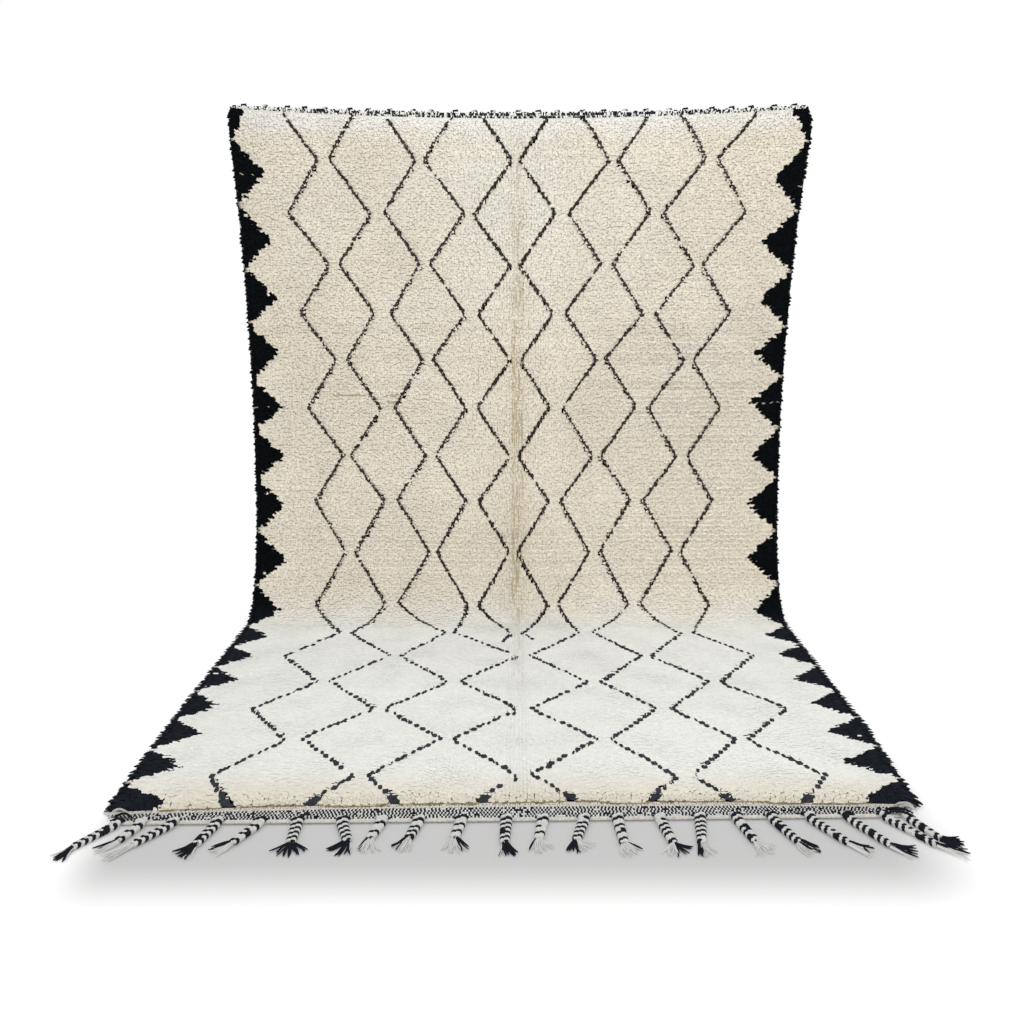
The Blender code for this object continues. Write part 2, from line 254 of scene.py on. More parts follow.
def patch_place(co, side):
    """Where a face's corner lies in its strand's patch: the sides unrolled, the ends as slivers."""
    if side == END:
        u = 0.5 + 0.4 * co.x
        w = (0.03 if co.z < 0 else 0.97) + 0.02 * co.y
    else:
        off = (math.atan2(co.y, co.x) - side + math.pi) % (2 * math.pi) - math.pi
        off = 0 if co.xy.length < 1e-6 else off
        u = (side + off) / (2 * math.pi) + 0.5
        u = (u - 0.5) * 0.94 + 0.5
        w = 0.07 + 0.86 * (co.z + 0.5)
    return min(max(u * 0.86 + 0.07, 0), 1), w


def unit(vectors):
    return vectors / np.linalg.norm(vectors, axis=-1, keepdims=True)


def around(centres, outward):
    """The ways sideways and outwards from centre lines, square to them and to each other."""
    ahead = unit(np.gradient(centres, axis=-2))
    outward = np.broadcast_to(np.asarray(outward, float), centres.shape)
    outward = unit(outward - (outward * ahead).sum(-1, keepdims=True) * ahead)
    return np.cross(ahead, outward), outward


def wrap_rings(shape, centres, half_width, half_height, outward=(0, 0, 1)):
    """Points of many strands, around their centre lines, in cloth coordinates."""
    right, outward = around(centres, outward)
    r = shape.ring
    half_width = np.broadcast_to(half_width, centres.shape[:-1])
    half_height = np.broadcast_to(half_height, centres.shape[:-1])
    sideways = right[..., r, :] * (half_width[..., r] * np.cos(shape.turn))[..., None]
    upwards = outward[..., r, :] * (half_height[..., r] * np.sin(shape.turn))[..., None]
    return centres[..., r, :] + sideways + upwards


def fill(items, field, values, kind=np.float32):
    """Sets one field of all of a mesh's items."""
    items.foreach_set(field, np.asarray(values).astype(kind).ravel())


def add_colours(mesh, domain, colours):
    """Gives a mesh its wool colours, one for each point or each face."""
    layer = mesh.attributes.new("wool", "FLOAT_COLOR", domain)
    opaque = np.concatenate([colours, np.ones((*colours.shape[:-1], 1))], axis=-1)
    fill(layer.data, "color", opaque)


def add_patches(mesh, shape, count):
    """Lays the copies out in a square of patches, so that each has its own place for colour."""
    wide = math.ceil(math.sqrt(count))
    place = np.arange(count)
    corner = np.stack([place % wide, place // wide], axis=-1)[:, None, :]
    fill(mesh.uv_layers.new(name="OFBake").data, "uv", (shape.patch[None] + corner) / wide)


def join_strands(name, shape, flat, colours, material, domain="POINT"):
    """One object of many copies of a shape, from their points in cloth coordinates.

    There is a colour for each copy, or else for each of its points or faces.
    """
    flat = flat.reshape(-1, len(shape.ring), 3)
    count = len(flat)
    colours = colours.reshape(count, -1, 3)
    if colours.shape[1] == 1:
        colours = np.repeat(colours, len(shape.ring), axis=1)
    mesh = bpy.data.meshes.new(name)
    mesh.vertices.add(count * len(shape.ring))
    fill(mesh.vertices, "co", drape(flat))
    loops = shape.loops[None] + np.arange(count)[:, None] * len(shape.ring)
    starts = shape.starts[None] + np.arange(count)[:, None] * len(shape.loops)
    mesh.loops.add(loops.size)
    fill(mesh.loops, "vertex_index", loops, np.int32)
    mesh.polygons.add(starts.size)
    fill(mesh.polygons, "loop_start", starts, np.int32)
    mesh.update(calc_edges=True)
    mesh.shade_smooth()
    mesh.set_sharp_from_angle(angle=math.radians(80))
    add_colours(mesh, domain, colours.reshape(-1, 3))
    add_patches(mesh, shape, count)
    return place_piece(name, mesh, material)


def add_object(name, data):
    ob = bpy.data.objects.new(name, data)
    bpy.context.scene.collection.objects.link(ob)
    return ob


def place_piece(name, mesh, material):
    """Puts a finished mesh in the scene, riding on the rug."""
    ob = add_object(name, mesh)
    mesh.materials.append(material)
    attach(ob, "root")
    return ob


# ---------------- materials


def link(tree, source, output, target, socket):
    tree.links.new(source.outputs[output], target.inputs[socket])


def new_node(tree, kind, operation=None, **inputs):
    """A node of a shader tree, with values for some of its inputs."""
    node = tree.nodes.new("ShaderNode" + kind)
    if operation:
        node.operation = operation
    for name, value in inputs.items():
        node.inputs[name].default_value = value
    return node


def start_material(name, roughness, gloss):
    """A material's node tree and shader, and where a point is on its piece, for its patterns."""
    material = bpy.data.materials.new(name)
    material.use_nodes = True
    tree = material.node_tree
    shader = tree.nodes["Principled BSDF"]
    shader.inputs["Roughness"].default_value = roughness
    shader.inputs["Specular IOR Level"].default_value = gloss
    coordinates = new_node(tree, "TexCoord")
    place = new_node(tree, "SeparateXYZ")
    link(tree, coordinates, "Object", place, "Vector")
    return material, tree, shader, coordinates, place


def wool_material(name, grain, swing, depth, calm=1.0):
    """Wool in its own colours, with fine fibres. On the floor the fibres show as much as calm."""
    material, tree, shader, coordinates, place = start_material(name, 0.95, 0.03)
    colour = new_node(tree, "Attribute")
    colour.attribute_name = "wool"
    fibres = new_node(tree, "TexNoise", Scale=grain, Detail=3, Roughness=0.65)
    link(tree, coordinates, "Object", fibres, "Vector")
    mottling = map_range(tree, fibres, "Fac", (0.3, 0.7), (-swing, swing))
    strength = map_range(tree, place, "Z", (0.04, 0.30), (calm, 1.0))
    shade = new_node(tree, "Math", "MULTIPLY_ADD")
    shade.inputs[2].default_value = 1.0
    link(tree, mottling, "Result", shade, 0)
    link(tree, strength, "Result", shade, 1)
    mottled = new_node(tree, "VectorMath", "SCALE")
    link(tree, colour, "Color", mottled, 0)
    link(tree, shade, "Value", mottled, "Scale")
    link(tree, mottled, "Vector", shader, "Base Color")
    relief = new_node(tree, "Bump", Strength=0.2, Distance=depth)
    link(tree, fibres, "Fac", relief, "Height")
    link(tree, relief, "Normal", shader, "Normal")
    return material


def map_range(tree, source, output, before, after, smooth=False):
    """A node that maps one range of values to another."""
    node = new_node(tree, "MapRange")
    node.interpolation_type = "SMOOTHSTEP" if smooth else "LINEAR"
    node.inputs["From Min"].default_value, node.inputs["From Max"].default_value = before
    node.inputs["To Min"].default_value, node.inputs["To Max"].default_value = after
    link(tree, source, output, node, "Value")
    return node


# ---------------- the pattern

# The lattice: lines of dark knots that zigzag down the pile. They pinch together in columns at
# every second level and nearly meet between the columns at the others.
# Places along, from the first pinch to where the five columns of lozenges join into four
UPPER_LEVELS = (0.169, 0.354, 0.536, 0.707, 0.877, 1.053, 1.232, 1.401, 1.594, 1.798)
JOINING_LEVEL = 1.980
LOWER_LEVELS = (2.180, 2.379, 2.560, 2.735, 2.920, 3.110)
TOP_LEVEL = -0.010
PINCH_GAP = 0.035
WIDE_GAP = 0.046
TOP_GAP = 0.098
PITCH_TOP = 0.332  # between columns at the top, and how fast it shrinks down the cloth
PITCH_SHRINK = 0.019
SHIFT_TOP = -0.002
SHIFT_DRIFT = -0.006
JOINING = (-0.597, -0.234, 0.005, 0.239, 0.597)  # where five columns become four
JOINING_ENDS = ((2.060, -0.049), (2.042, 0.059))  # the middle column's two lines run on to here
LOWER_COLUMNS = (-0.598, -0.193, 0.241, 0.612)
LOWER_OUTER = 0.168
LOWER_GAP = WIDE_GAP - 0.012
LEVEL_STRAY = 0.003
DASH = 0.0125  # length along the rug of a line's locks, which lie along the line
DASH_PITCH = 0.0038  # between two locks side by side in a line
DASH_STRAY = 0.0008
DASH_RISE = 0.0022  # how far a line's locks stand above the others
DASH_DOUBLED = 0.75  # share of every second row of a line that has two locks
DASH_FLAT = 0.020  # on the floor a line's locks are beads that lie down the rug
DASH_TURN_FLAT = 0.35
DASH_DOUBLED_FLAT = 0.55
DASH_BETWEEN_FLAT = 0.30  # share of the rows between two beads that have a small one
DASH_STRAY_FLAT = 0.0024
DASH_MISSING = 0.02
BLOB_ROWS = 3  # rows at the floor end where a line swells into a blob
BLOB_LOCKS = 3
BLOB_PITCH = 0.0056
BLOB_GIRTH = 1.3
FRAY = 0.0050  # how unevenly the teeth's rows end: by turns further in and out, and at random

# The sawtooth sides: places along of the dark teeth's tips, on the left and on the right
TEETH_LEFT = (0, 0.215, 0.445, 0.653, 0.851, 1.050, 1.228, 1.416, 1.625)
TEETH_LEFT += (1.824, 2.026, 2.189, 2.372, 2.547, 2.713, 2.879, 3.015)
TEETH_RIGHT = (0, 0.239, 0.455, 0.657, 0.851, 1.031, 1.228, 1.409, 1.617)
TEETH_RIGHT += (1.824, 2.007, 2.172, 2.365, 2.528, 2.702, 2.859, 3.015)
TOOTH_DEPTH = 0.107
TOOTH_DEPTH_END = 0.122  # of the last teeth, near the floor end
TOOTH_CORNER = 0.056  # of the half teeth at the top corners
TOOTH_VALLEY = 0.004  # dark left between two teeth
TOOTH_STRAY = 0.004


def upper_columns(along):
    """Middles of the five columns of lozenges on the hung part."""
    pitch = PITCH_TOP - PITCH_SHRINK * along
    return [SHIFT_TOP + SHIFT_DRIFT * along + (i - 2) * pitch for i in range(5)]


def level_ends(columns, pinched, gap, outer):
    """Where the two lines of each column stand at one level."""
    if pinched:
        return [(c - gap / 2, c + gap / 2) for c in columns]
    edges = [(a + b) / 2 for a, b in zip(columns, columns[1:])]
    left = [columns[0] - outer] + [e + gap / 2 for e in edges]
    right = [e - gap / 2 for e in edges] + [columns[-1] + outer]
    return list(zip(left, right))


def lattice_lines(draw):
    """The lattice's lines, each a list of its turning points as (along, across)."""
    columns = [([], []) for _ in range(5)]

    def add(indices, along, level):
        for i, ends in zip(indices, level):
            for line, across in zip(columns[i], ends):
                stray = draw.normal(0, LEVEL_STRAY, 2)
                line.append((along + stray[0], across + stray[1]))

    for level, along in enumerate((TOP_LEVEL, *UPPER_LEVELS)):
        middles = upper_columns(along)
        gap = TOP_GAP if level == 0 else (PINCH_GAP if level % 2 else WIDE_GAP)
        outer = (middles[1] - middles[0]) / 2 - WIDE_GAP / 2
        add(range(5), along, level_ends(middles, level % 2 == 1, gap, outer))
    add(range(5), JOINING_LEVEL, level_ends(JOINING, True, PINCH_GAP, 0))
    for level, along in enumerate(LOWER_LEVELS):
        pinched = level % 2 == 1
        gap = PINCH_GAP if pinched else LOWER_GAP
        add((0, 1, 3, 4), along, level_ends(LOWER_COLUMNS, pinched, gap, LOWER_OUTER))
    for line, end in zip(columns[2], JOINING_ENDS):
        line.append(end)
    return [line for pair in columns for line in pair]


def line_locks(draw):
    """The lattice's locks: which they are, where each one starts, and where it ends."""
    dark = np.zeros(GRID, bool)
    starts = np.tile(KNOT_ACROSS, (ROWS, 1))
    ends = starts.copy()
    for line in lattice_lines(draw):
        alongs, acrosses = zip(*line)
        for row in range(min(ROWS, np.searchsorted(KNOT_ALONG, alongs[-1]))):
            start, end = np.interp(KNOT_ALONG[row] + np.array([0, DASH]), alongs, acrosses)
            blob = row >= ROWS - BLOB_ROWS
            flat = KNOT_ALONG[row] > HUNG_LENGTH
            end = start + (DASH_TURN_FLAT if flat else 1) * (end - start)
            between = flat and row % 2 == 0 and draw.random() > DASH_BETWEEN_FLAT
            if not blob and (draw.random() < DASH_MISSING or between):
                continue
            doubled = draw.random() < (DASH_DOUBLED_FLAT if flat else DASH_DOUBLED)
            count = BLOB_LOCKS if blob else (2 if row % 2 and doubled else 1)
            nearest = np.sort(np.argsort(np.abs(KNOT_ACROSS - start))[:count])
            places = (np.arange(count) - (count - 1) / 2) * (BLOB_PITCH if blob else DASH_PITCH)
            places = places + draw.normal(0, DASH_STRAY_FLAT if flat and not blob else DASH_STRAY)
            dark[row, nearest] = True
            starts[row, nearest] = start + places
            ends[row, nearest] = end + places
    return dark, starts, ends


def tooth_depths(levels, along, draw):
    """How far in the dark reaches at places along one side."""
    places, depths = [], []
    for level, after in zip(levels, (*levels[1:], PILE_LENGTH + 0.3)):
        depth = TOOTH_DEPTH + (TOOTH_DEPTH_END - TOOTH_DEPTH) * ease(level, 2.4, 3.0)
        tip = depth + draw.normal(0, TOOTH_STRAY) if level else TOOTH_CORNER
        places += [level, (level + after) / 2]
        depths += [tip, TOOTH_VALLEY]
    depth = np.interp(along, places, depths) + FRAY * (np.arange(ROWS) % 2 - 0.5)[:, None]
    depth = depth + draw.normal(0, 0.8 * FRAY, (ROWS, 1))
    return depth + draw.normal(0, 0.4 * FRAY, along.shape)


def tooth_locks(roots, steps, draw):
    """Which locks the sawtooth sides make dark, and which of them are dark to the root."""
    middles = roots + 0.7 * steps
    dark = np.zeros(GRID, bool)
    whole = dark.copy()
    for side, levels in ((-1, TEETH_LEFT), (1, TEETH_RIGHT)):
        depth = tooth_depths(levels, middles[..., 1], draw)
        dark |= RUG_WIDTH / 2 - side * middles[..., 0] < depth
        whole |= RUG_WIDTH / 2 - side * roots[..., 0] < depth + 0.003
    whole[:, 1:-1] = dark[:, 1:-1]
    return dark, whole & dark


# ---------------- the pile

FLOOR_CALM = 0.86  # how much flatter the pile lies on the floor
RIM_ROOT = 0.012  # how far inside the edge the outermost locks start
RIM_REACH = (0.002, 0.013)  # and how far past it they end
RIM_DROP = (0.002, 0.010)  # and how far down the rug
ROOT_STRAY = 0.0010
LOCK_STRAY = 0.11  # how unevenly the locks turn and how unevenly long they are
RISE_STRAY = 0.00045
PALE_SHARE = 0.35  # share of a row's knots that an undyed thread shows on
DYED_SHARE = 0.9975  # of the pattern's knots: the others are mistakes
DYED_FROM = 2.9  # along: from here to the end there are none
STREAK_HALF = 0.065  # of the tanned streak down the middle
FOOT_WAVE = 0.009
FOOT_WAVE_PITCH = 0.13
LANDING = (1.75, 2.0)  # along: from where the pile hangs freely to where it lies flat
END_HEIGHT = 0.0055  # of the last tips, where the pile ends

# A stretch of the pile with soft edges: its middle, how far it reaches, and how strong it is
Stretch = namedtuple("Stretch", "across along half_across half_along strength")
# Where the rows stand apart, with painted shade for the roots that show between them: darker locks
# and browner tips
OPENINGS = (
    Stretch(0.62, 0.97, 0.34, 0.22, 0.75),
    Stretch(0.20, 1.62, 0.75, 0.12, 0.55),
    Stretch(-0.45, 1.60, 0.45, 0.14, 0.45),
    Stretch(0.55, 0.45, 0.35, 0.30, 0.25),
    Stretch(-0.55, 1.00, 0.30, 0.10, 0.30),
    Stretch(0.74, 1.40, 0.32, 0.38, 0.60),
    Stretch(-0.40, 0.16, 0.30, 0.08, 0.35),
)
PALE_STRETCH = Stretch(-0.05, 0.3, 0.45, 0.35, 0.9)
# Rows parted to a hairline of bare tan yarn, darkened with painted shade: place along, and from
# where to where across
HAIRLINES = ((1.008, -0.690, -0.560), (1.008, -0.490, -0.440), (1.030, -0.480, -0.445))
# Rows of a few undyed threads across a dark tooth: side, and place along
PALE_THREADS = ((-1, 0.218), (-1, 1.050), (1, 0.260), (1, 1.030))


def nearness(stretch):
    """How near each knot is to a stretch's middle: one there, and nought far off."""
    a, b = KNOT_ACROSS[None, :], KNOT_ALONG[:, None]
    off_across = (a - stretch.across) / stretch.half_across
    off_along = (b - stretch.along) / stretch.half_along
    return np.exp(-(off_across**2 + off_along**2))


def row_opening(draw):
    """How far each knot's locks stand apart from the row above, from nought to one."""
    rows = draw.choice([0.3, 0.65, 1.0], (ROWS + 1) // 2, p=[0.3, 0.4, 0.3])
    rows = np.repeat(rows, 2)[:ROWS] * (np.arange(ROWS) % 2)
    opened = sum(s.strength * rows[:, None] * nearness(s) for s in OPENINGS)
    return np.clip(opened, 0, 1)


def hairline_knots():
    bare = np.zeros(GRID, bool)
    for along, left, right in HAIRLINES:
        bare[round(along / ROW - 0.5)] |= (KNOT_ACROSS > left) & (KNOT_ACROSS < right)
    return bare


def pale_knots(draw):
    """The knots of the undyed threads."""
    pale = np.zeros(GRID, bool)
    for side, along in PALE_THREADS:
        inside = side * KNOT_ACROSS > RUG_WIDTH / 2 - TOOTH_DEPTH
        pale[round(along / ROW)] |= inside & (draw.random(COLUMNS) < PALE_SHARE)
    return pale


def blend(first, second, share):
    """A mix of two colours, all of it the second where share is one."""
    share = np.asarray(share)[..., None]
    return np.asarray(first) * (1 - share) + np.asarray(second) * share


def knot_colours(draw):
    """The cream of each knot, before the lamps and fibres: warm where it hangs, cooler on the
    floor, with some painted light and shade.
    """
    a, b = KNOT_ACROSS[None, :], KNOT_ALONG[:, None]
    floor = ease(b + 0.05 * unevenness(0.2, 3.5), 1.70, 2.00)
    top = 1 - ease(b + 0.03 * unevenness(0.09, 5.5), 0.0, 0.11)
    end = ease(b + 0.02 * unevenness(0.15, 7.5), 2.87, 3.03)
    warm = 0.10 * np.clip(unevenness(0.23, 1.5) + 0.25, 0, 1) * (1 - floor)
    cream = blend(CREAM, CREAM_PALE, PALE_STRETCH.strength * nearness(PALE_STRETCH))
    cream = blend(blend(cream, CREAM_FLOOR, floor), CREAM_TOP, 0.85 * top)
    cream = blend(blend(cream, TAN, warm), CREAM_END, end)
    # Painted light: lighter below the middle, more so on the right, and where the cloth turns;
    # painted shade: darker near the top. Also uneven from row to row
    tone_and_painted_light = 1 + 0.045 * unevenness(0.16, 9.5) * (1 - 0.6 * floor)
    tone_and_painted_light = tone_and_painted_light + (0.07 + 0.04 * ease(a, 0.1, 0.5)) * ease(b, 0.9, 1.7) * (1 - 0.5 * floor)
    tone_and_painted_light = tone_and_painted_light - 0.04 * (1 - ease(b, 0.4, 1.2)) + 0.06 * np.exp(-(((b - 1.96) / 0.12) ** 2))
    tone_and_painted_light = tone_and_painted_light + draw.normal(0, 0.018, (ROWS, 1)) * (1 - 0.8 * floor)
    return cream * (tone_and_painted_light + draw.normal(0, 0.04, GRID) * (1 - 0.4 * floor))[..., None]


def foot_wave(across):
    """How far the wavy end of the pile runs on past a straight line."""
    return FOOT_WAVE * soft_noise(across, FOOT_WAVE_PITCH / 2, FOOT_WAVE_PITCH, 0.5)


def lock_steps(draw):
    """From each lock's root to its tip: down the rug, and over towards the middle at the sides."""
    a, b = np.abs(KNOT_ACROSS)[None, :], KNOT_ALONG[:, None]
    turned = NAP_TURN * ease(a, 0.05, 0.38) * (0.7 + 0.3 * ease(b, 0, 0.3))
    turned = turned * (1 - 0.8 * ease(b, PILE_LENGTH - 0.06, PILE_LENGTH - 0.02))
    turned = turned + 0.18 * unevenness(0.13, 6.5) + draw.normal(0, LOCK_STRAY, GRID)
    reach = LOCK_REACH * (1 + draw.normal(0, LOCK_STRAY, GRID))
    steps = np.stack([-np.sign(KNOT_ACROSS) * np.sin(turned), np.cos(turned)], axis=-1)
    return steps * reach[..., None]


def relief_at(along):
    """How much of its full relief the pile has: all where it hangs, and little on the floor."""
    return 1 - FLOOR_CALM * ease(along, *LANDING)


def lay_locks(lines, starts, ends, opened, draw):
    """Where each lock starts on the cloth, and its step from there to its tip."""
    hung = 1 - ease(KNOT_ALONG, *LANDING)[:, None]
    waver = 0.003 * unevenness(0.07, 4.5)
    stagger = ROW * draw.uniform(-0.32, 0.32, GRID) * (1.6 - 0.6 * hung) * (1 - 0.6 * opened)
    stagger[0] = np.abs(stagger[0])
    stagger = np.where(lines, 0.15 * stagger, stagger + waver)
    across = starts + draw.normal(0, ROOT_STRAY, GRID)
    roots = np.stack([across, KNOT_ALONG[:, None] + stagger], axis=-1)
    steps = lock_steps(draw)
    reach = np.where(KNOT_ALONG > HUNG_LENGTH, DASH_FLAT, DASH)[:, None] * np.ones(COLUMNS)
    steps[lines] = np.stack([(ends - starts)[lines], reach[lines]], axis=-1)
    for column, side in ((0, -1), (-1, 1)):  # the rim's locks stand out over the side cord
        roots[:, column, 0] = side * (RUG_WIDTH / 2 - RIM_ROOT)
        steps[:, column, 0] = side * (RIM_ROOT + draw.uniform(*RIM_REACH, ROWS))
        steps[:, column, 1] = draw.uniform(*RIM_DROP, ROWS)
    room = PILE_LENGTH + foot_wave(KNOT_ACROSS) + draw.uniform(0.002, 0.009, GRID) - roots[..., 1]
    steps = steps * np.clip(room / np.maximum(steps[..., 1], 0.004), 0.25, 1)[..., None]
    return roots, steps


def lock_centres(roots, steps, lines, sunk, draw):
    """The locks' centre lines: root, belly and tip, with heights above the cloth's back."""
    relief = relief_at(KNOT_ALONG)[:, None]
    rise = draw.normal(0, RISE_STRAY, GRID) * relief - sunk
    top = pile_top(*np.meshgrid(KNOT_ACROSS, KNOT_ALONG)) - TIP_BELOW
    proud = DASH_RISE * lines * np.maximum(relief, 0.35)
    points = []
    for share, below in ((0, ROOT_BELOW), (LOCK_BELLY, BELLY_BELOW), (1, TIP_BELOW)):
        place = roots + share * steps
        height = top - (below - TIP_BELOW) * relief + (rise if share else 0) + proud
        # The last locks lie down over the end of the pile
        over = ease(place[..., 1], PILE_LENGTH - 0.014, PILE_LENGTH + 0.008)
        height = height * (1 - over) + END_HEIGHT * over
        points.append(np.stack([place[..., 0], place[..., 1], height], axis=-1))
    return np.stack(points, axis=-2)


def lock_girths(lines, thin, draw):
    """Half the width of each lock's belly. A line's locks are beads, thick and thin by turns."""
    floor = ease(KNOT_ALONG, *LANDING)[:, None]
    rows = np.arange(ROWS)[:, None]
    girth = LOCK_HALF * (1 + draw.normal(0, 0.10, GRID))
    beads = 0.66 + 0.34 * (rows % 2) + 0.06 * floor
    beads = np.where(rows >= ROWS - BLOB_ROWS, BLOB_GIRTH, beads)
    swelling = 1 + 0.22 * floor * draw.normal(0, 1, GRID)
    return np.where(lines, girth * beads * swelling, girth) * np.where(thin, 0.4, 1)


def make_pile(material, draw):
    """The knotted pile: a lock to a knot, each one lying over the next."""
    cream = knot_colours(draw)
    bare, opened = hairline_knots(), row_opening(draw)
    pale = pale_knots(draw)
    lines, starts, ends = line_locks(draw)
    roots, steps = lay_locks(lines, starts, ends, opened, draw)
    teeth, whole = tooth_locks(roots, steps, draw)
    dyed = (draw.random(GRID) < DYED_SHARE) | (KNOT_ALONG > DYED_FROM)[:, None]
    dark = (lines | teeth) & dyed
    sunk = 0.0012 * opened + 0.0018 * bare + 0.0006 * pale
    centres = lock_centres(roots, steps, lines, sunk, draw)
    girth = lock_girths(lines, pale & teeth, draw)
    half = np.stack([0.8 * girth, girth, np.zeros(GRID)], axis=-1)
    relief = relief_at(KNOT_ALONG)[:, None, None]
    shape = strand_shape(3, 3, pointed=True)
    flat = wrap_rings(shape, centres, half, LOCK_FLAT * relief * half)
    drops = ease((roots + steps)[..., 1], PILE_LENGTH - 0.004, PILE_LENGTH + 0.004)
    colours = lock_colours(cream, dark, lines & ~teeth, opened, bare, pale & teeth, drops, draw)
    colours[:, :, 0] = np.where((teeth & ~whole)[..., None], cream, colours[:, :, 0])
    colours = colours[:, :, shape.ring, :]
    edges = [round(ROWS * i / PILE_PIECES) for i in range(PILE_PIECES + 1)]
    for i, (first, last) in enumerate(zip(edges, edges[1:])):
        rows = slice(first, last)
        join_strands(f"pile_{i + 1}", shape, flat[rows], colours[rows], material)
    return dark, cream


def lock_colours(cream, dark, lines, opened, bare, pale, last, draw):
    """Each lock's colour at its root, belly and tip."""
    hung = 1 - ease(KNOT_ALONG, *LANDING)[:, None]
    line_dark = blend(LINE_DARK, LINE_DARK_FLOOR, 1 - hung)
    # On the floor the charcoal takes painted sheen
    charcoal = blend(CHARCOAL, CHARCOAL_PAINTED_SHEEN, (1 - hung) * np.ones(COLUMNS))
    charcoal = np.where(lines[..., None], line_dark, charcoal)
    charcoal = charcoal * (1 + draw.normal(0, 0.15, GRID))[..., None]
    streak = np.exp(-((KNOT_ACROSS / STREAK_HALF) ** 2))[None, :]
    streak = streak * hung * ease(KNOT_ALONG, 0.0, 1.5)[:, None]
    columns = draw.uniform(0.2, 1.0, COLUMNS)[None, :]
    tanned = 0.30 * streak * columns * draw.uniform(0.2, 1.4, GRID) + 0.5 * bare
    # Painted shade: darker where the rows stand apart and at the hairlines, whose tan is the yarn's
    # own
    shade = 1 - 0.16 * opened - 0.25 * bare
    body = blend(cream, TAN, np.clip(tanned, 0, 1)) * shade[..., None]
    body = np.where(dark[..., None], charcoal, body)
    body = np.where(pale[..., None], 0.5 * np.array(CREAM), body)
    # Roots tanner and darker, and tips a little lighter: painted shade under the locks and painted
    # light on their ends
    roots_painted_shade = blend(body, TAN, np.where(dark, 0, 0.02 + 0.16 * hung))
    roots_painted_shade = roots_painted_shade * (1 - 0.07 * hung)[..., None]
    # Tips browner where the pile ends, and browner as painted shade where the rows stand apart
    brown = last * (0.8 + 0.5 * unevenness(0.05, 2.5)) + 0.8 * opened
    brown = np.where(dark, 0, np.clip(brown, 0, 1))
    return np.stack([roots_painted_shade, body, blend(body * 1.03, BROWN, brown)], axis=-2)


# ---------------- the ground under the pile

GROUND_ROWS = ROWS // 2
GROUND_COLUMNS = COLUMNS // 2
RIM_LOWER = 0.004  # how much lower the knots' feet are at the sides, and at the pile's end
LAST_LOWER = 0.0105


def raise_faces(bm, faces, height):
    """Extrudes a region of faces up to a height, and returns the raised faces."""
    edges = list({e for f in faces for e in f.edges})
    grown = bmesh.ops.extrude_face_region(bm, geom=faces + edges)["geom"]
    for v in grown:
        if isinstance(v, bmesh.types.BMVert):
            v.co.z = height
    return [f for f in grown if isinstance(f, bmesh.types.BMFace)]


def make_ground(material, knots, cream):
    """The woven ground and the knots' feet, with the pattern showing through to the back."""
    beyond = PILE_LENGTH + BAND_BOTTOM * np.array([0.33, 0.66, 1.0])
    rows = np.concatenate([[0.0], np.linspace(0, PILE_LENGTH, GROUND_ROWS + 1), beyond])
    columns = np.linspace(-RUG_WIDTH / 2, RUG_WIDTH / 2, GROUND_COLUMNS + 1)
    bm = bmesh.new()
    bmesh.ops.create_grid(bm, x_segments=GROUND_COLUMNS, y_segments=len(rows) - 1, size=1)
    for v in bm.verts:
        column = round((v.co.x + 1) / 2 * GROUND_COLUMNS)
        row = round((v.co.y + 1) / 2 * (len(rows) - 1))
        v.co = (columns[column] * drawn_in(rows[row]), rows[row], 0)
        if row == 0:
            v.co.y = -band_top(v.co.x)
    weave = raise_faces(bm, bm.faces[:], GROUND)
    piled = [f for f in weave if 0 < f.calc_center_median().y < PILE_LENGTH]
    feet = list({v for f in raise_faces(bm, piled, PILE_TOP) for v in f.verts})
    across, along, _ = np.array([v.co for v in feet]).T
    rim = ease(np.abs(across), RUG_WIDTH / 2 - 0.012, RUG_WIDTH / 2)
    last = ease(along, PILE_LENGTH - 0.030, PILE_LENGTH)
    heights = pile_top(across, along) - TIP_BELOW - (BED_BELOW - TIP_BELOW) * relief_at(along)
    for v, height in zip(feet, heights - (RIM_LOWER * rim + LAST_LOWER * last)):
        v.co.z = height
    # drape() mirrors the cloth, so its faces look inwards until then
    bmesh.ops.recalc_face_normals(bm, faces=bm.faces[:])
    if bm.calc_volume(signed=True) > 0:
        bmesh.ops.reverse_faces(bm, faces=bm.faces[:])
    colours = ground_colours(bm, knots, cream)
    lay_ground_map(bm)
    name = "ground_cloth"
    mesh = bpy.data.meshes.new(name)
    bm.to_mesh(mesh)
    bm.free()
    flat = np.empty(len(mesh.vertices) * 3)
    mesh.vertices.foreach_get("co", flat)
    fill(mesh.vertices, "co", drape(flat.reshape(-1, 3)))
    mesh.update()
    add_colours(mesh, "FACE", colours)
    ob = place_piece(name, mesh, material)
    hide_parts("rug_cloth")
    return ob


def lay_ground_map(bm):
    """The ground seen from above beside the ground seen from below, with its steps spread out."""
    uv = bm.loops.layers.uv.new("OFBake")
    middle = PILE_LENGTH / 2
    for face in bm.faces:
        under = all(v.co.z == 0 for v in face.verts)
        for loop in face.loops:
            a, b, h = loop.vert.co
            grow = 1 if under or h > GROUND + GAP else (1.006 if h > 0 else 1.012)
            u = 0.5 + 0.46 * grow * a / (RUG_WIDTH / 2)
            w = 0.5 + 0.46 * grow * (b - middle) / (middle + BAND_BOTTOM)
            loop[uv].uv = (u / 2 + (0.5 if under else 0), w)


